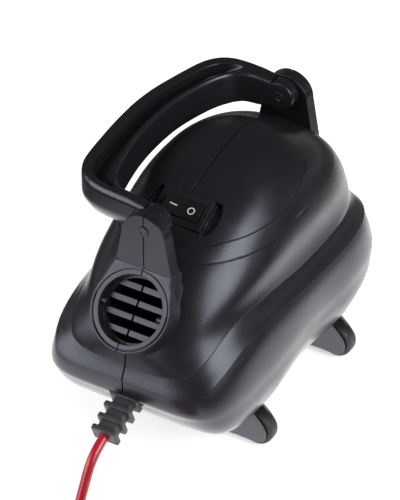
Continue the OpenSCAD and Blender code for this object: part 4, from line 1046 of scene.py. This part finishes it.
class DRYER_OT_grille(Operator):
    """Build the slotted inlet grille that follows the tail"""
    bl_idname = "dryer.grille"
    bl_label = "Inlet grille"

    def execute(self, context):
        cover = loose("inlet_cover", inner_half(0.0, -1.0))
        worked(cover, mirrored(inner_half(0.0, -1.0)), "UNION")
        worked(cover, plate(oblong(67.2, 47.2, 0.8, 2), 0, 60, 0, AT_INLET), "INTERSECT")
        worked(cover, centred(62, 42, -1, 8.4, AT_INLET), "DIFFERENCE")
        for k in range(9):
            gap = plate(oblong(4, 36, 1.9), -2, 60, 0, AT_INLET @ at((k - 4) * 58 / 9, 0, 0))
            worked(cover, gap, "DIFFERENCE")
        finished(cover, "satin_black", "root", ["inlet_grille"])
        return {"FINISHED"}


# ---- Casters

def fork_side(low, high, edge, place):
    outline = rounded([(-7, 4, 1.2), (4, 4.4, 5), (TRAIL + 3, 3.6, 5), (TRAIL + 9.4, 8, 6), (TRAIL + 9.6, 16, 7),
                       (TRAIL + 5, 22.5, 6), (11, 29.4, 3), (-7, 29.6, 1.2)], 5)
    return plate(outline, 0, high - low, edge, place @ at(0, high, 0, 90), 2)


class DRYER_OT_casters(Operator):
    """Build the four swivel casters: fork, tyre and axle"""
    bl_idname = "dryer.casters"
    bl_label = "Casters"

    def execute(self, context):
        edge = 1000 * context.scene.dryer_caster.edge
        for corner, (x, y) in CORNERS.items():
            here, swivel = at(x, y, 0), corner + "_swivel"
            fork = loose(corner + "_fork", fork_side(5.9, 8.1, edge, here))
            worked(fork, fork_side(-8.1, -5.9, edge, here), "UNION")
            for low, high in (((-7, -6.2, 27), (11, 6.2, 29.6)), ((-7, -6.2, 4), (-4.5, 6.2, 29.4)),
                              ((-6.9, -6.2, 4), (1, 6.2, 6))):
                worked(fork, box(low, high, here, 0.5), "UNION")
            worked(fork, spun([(0, 28), (3, 28), (3, 42), (2.6, 42.6), (0, 42.6)], here, 40), "UNION")
            hub = here @ at(TRAIL, 0, WHEEL_RADIUS, -90)
            worked(fork, rod(WHEEL_BORE, -7.6, 7.6, hub, 32), "DIFFERENCE")
            finished(fork, "fork_grey", swivel, [corner + "_yoke"])
            tread = both_ends([(WHEEL_BORE, -5.5), (7.6, -5.5), (8.0, -4.9), (9.4, -4.9), (9.8, -5.4), (11.2, -5.5),
                               (12.3, -4.9), (12.9, -3.6), (WHEEL_RADIUS, -2)])
            piece(corner + "_tyre", spun(tread, hub, 72), "tyre_black", corner + "_roller",
                  [corner + "_wheel"])
            pin = both_ends([(0, -7.55), (1.6, -7.55), (2, -7.2)])
            piece(corner + "_pin", spun(pin, hub, 32), "steel", swivel, [corner + "_axle"])
        return {"FINISHED"}


# ---- Motor, fan and small parts that keep their own shapes

class DRYER_OT_works(Operator):
    """Give the motor, the fan, the screws and the other inner parts their finishes"""
    bl_idname = "dryer.works"
    bl_label = "Inner parts"

    def execute(self, context):
        finishes = {
            "steel": "casing_screws clamp_screws motor_shaft impeller_nut front_bearing rear_bearing stem_sockets "
                     "handle_pins plug_pins",
            "motor_steel": "motor_frame fan_shroud", "laminations": "stator_core armature_core",
            "winding": "field_coils armature_winding commutator", "brass": "switch_terminals brush_holders",
            "carbon": "carbon_brushes", "fan_white": "diffuser impeller", "foam": "inlet_filter",
            "mount_rubber": "front_mount rear_mount", "lead_brown": "switch_lead", "lead_blue": "motor_lead",
            "relief_rubber": "strain_relief cord_clamp cord_tie", "sheath_red": "inner_cord mains_cord cord_coil",
            "plug_red": "plug_body", "satin_black": "left_casing right_casing inlet_grille",
            "handle_black": "carry_handle", "bezel_black": "switch_frame", "switch_black": "switch_rocker"}
        for finish, part in (("fork_grey", "yoke"), ("tyre_black", "wheel"), ("steel", "axle")):
            finishes[finish] = " ".join([finishes.get(finish, "")] + [f"{corner}_{part}" for corner in CORNERS])
        dressed = set()
        for finish, names in finishes.items():
            for name in names.split():
                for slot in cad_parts[name].material_slots:
                    slot.link = "OBJECT"
                    slot.material = finish_named(finish)
                dressed.add(name)
        missed = set(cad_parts) - dressed
        if missed:
            raise RuntimeError("no finish for " + ", ".join(sorted(missed)))
        return {"FINISHED"}


# ---- Stage

# In metres and degrees.
TARGET, DISTANCE, AZIMUTH, ELEVATION = Vector((0, -0.0389, 0.1337)), 2.6, 30.5, 37.1
LIT_POINT = Vector((0, -0.05, 0.14))


def facing(thing, place, target):
    """Puts a camera or a lamp in its place and turns it to its target."""
    bpy.context.scene.collection.objects.link(thing)
    thing.location = place
    thing.rotation_euler = (target - place).to_track_quat("-Z", "Y").to_euler()


def lamp(name, place, size, power):
    light = bpy.data.lights.new(name, "AREA")
    light.shape, light.size, light.size_y, light.energy = "RECTANGLE", *size, power
    facing(bpy.data.objects.new(name, light), Vector(place), LIT_POINT)


def larger(tree, first, second):
    return added(tree, "Math", {0: first, 1: second}, operation="MAXIMUM").outputs[0]


def ramp(tree, value, start, end, low, high):
    """A smooth step from low to high while a value runs from start to end."""
    return added(tree, "MapRange", {"Value": value, "From Min": start, "From Max": end, "To Min": low, "To Max": high},
                 interpolation_type="SMOOTHSTEP").outputs["Result"]


def glow(tree, strength):
    return added(tree, "Emission", {"Strength": strength}).outputs["Emission"]


def floor_finish(s):
    """A pale floor, lifted towards white for the camera, that mirrors as a bright pool close by."""
    f = Finish("pale_floor", tuple(s.floor), 0.7)
    f.bend("Bump", {"Strength": 0.1, "Distance": 0.0001, "Height": f.noise(0.02, 3.0)})
    f.set({"Specular IOR Level": 0.2})
    rays = f.node("LightPath").outputs

    def reach(place):
        return f.node("VectorMath", {0: place}, operation="LENGTH").outputs["Value"]
    far = ramp(f.tree, reach(f.place), 1.2, 4.0, s.lift, 0.75)
    seen = larger(f.tree, rays["Is Camera Ray"], rays["Is Transmission Ray"])
    lift = glow(f.tree, f.node("Math", {0: seen, 1: far}, operation="MULTIPLY").outputs[0])
    pool = glow(f.tree, ramp(f.tree, reach(f.stretched((1.35, 0.75, 1.0))), 0.24, 0.48, 1.8, 0.05))
    pale = f.node("AddShader", {0: f.shader.outputs["BSDF"], 1: lift}).outputs["Shader"]
    mix = f.node("MixShader", {"Fac": rays["Is Glossy Ray"], 1: pale, 2: pool})
    feed(f.tree, f.tree.nodes["Material Output"], {"Surface": mix.outputs["Shader"]})
    return f.material


def surround(world, s):
    """White for the camera, a surround that darkens upwards for glossy rays, and a soft light for the rest."""
    world.use_nodes = True
    tree = world.node_tree
    rays = added(tree, "LightPath").outputs
    plain = larger(tree, rays["Is Camera Ray"], rays["Is Transmission Ray"])
    way = added(tree, "SeparateXYZ", {"Vector": added(tree, "TexCoord").outputs["Generated"]})
    lit = larger(tree, ramp(tree, way.outputs["Z"], 0.03, 0.18, 0.6, 0.06), plain)
    mix = added(tree, "Mix", {"Factor": larger(tree, plain, rays["Is Glossy Ray"]), "A": s.ambient, "B": lit})
    feed(tree, tree.nodes["Background"], {"Color": (1, 1, 1, 1), "Strength": mix.outputs["Result"]})


class DRYER_OT_stage(Operator):
    """Set the camera, the soft studio light and the pale floor"""
    bl_idname = "dryer.stage"
    bl_label = "Stage"

    def execute(self, context):
        scene, s = context.scene, context.scene.dryer_stage
        scene.view_settings.view_transform = "Standard"
        camera = bpy.data.objects.new("camera", bpy.data.cameras.new("camera"))
        turn, rise = math.radians(AZIMUTH), math.radians(ELEVATION)
        away = Vector((math.sin(turn) * math.cos(rise), -math.cos(turn) * math.cos(rise), math.sin(rise)))
        facing(camera, TARGET + away * DISTANCE, TARGET)
        camera.data.sensor_width, camera.data.lens = 36.0, s.lens
        camera.data.clip_start, camera.data.clip_end = 0.05, 60.0
        scene.camera = camera

        bm = bmesh.new()
        bmesh.ops.create_grid(bm, x_segments=8, y_segments=8, size=12)
        floor = loose("floor", bm)
        floor.data.materials.append(floor_finish(s))

        scene.world = bpy.data.worlds.new("studio")
        surround(scene.world, s)
        lamp("right_box", (1.42, -0.17, 1.07), (1.2, 1.15), s.key)
        lamp("front_box", (-0.98, -1.12, 0.70), (1.7, 1.0), s.fill)
        return {"FINISHED"}


# ---- Panel and run

STEPS = ("stage", "cord", "relief", "housing", "pegs", "handle", "switch", "grille", "casters", "works")


class DRYER_PT_panel(Panel):
    """Lists the dryer's pieces and their settings"""
    bl_label = "Car dryer blower"
    bl_idname = "DRYER_PT_panel"
    bl_space_type = "VIEW_3D"
    bl_region_type = "UI"
    bl_category = "Dryer"

    def draw(self, context):
        for name in STEPS:
            self.layout.operator("dryer." + name)
        for group in SETTINGS:
            box_ = self.layout.box()
            settings = getattr(context.scene, group)
            for prop in settings.bl_rna.properties:
                if prop.identifier not in ("rna_type", "name"):
                    box_.prop(settings, prop.identifier)


SETTINGS = {"dryer_housing": HousingSettings, "dryer_handle": HandleSettings, "dryer_switch": SwitchSettings,
            "dryer_cord": CordSettings, "dryer_caster": CasterSettings, "dryer_stage": StageSettings}
OPERATORS = (DRYER_OT_stage, DRYER_OT_cord, DRYER_OT_relief, DRYER_OT_housing, DRYER_OT_pegs, DRYER_OT_handle,
             DRYER_OT_switch, DRYER_OT_grille, DRYER_OT_casters, DRYER_OT_works)


def register():
    for cls in (*SETTINGS.values(), *OPERATORS, DRYER_PT_panel):
        bpy.utils.register_class(cls)
    for name, cls in SETTINGS.items():
        setattr(bpy.types.Scene, name, PointerProperty(type=cls))


def unregister():
    for name in SETTINGS:
        delattr(bpy.types.Scene, name)
    for cls in reversed((*SETTINGS.values(), *OPERATORS, DRYER_PT_panel)):
        bpy.utils.unregister_class(cls)


def main():
    register()
    for name in STEPS:
        getattr(bpy.ops.dryer, name)()


if __name__ == "__main__":
    main()
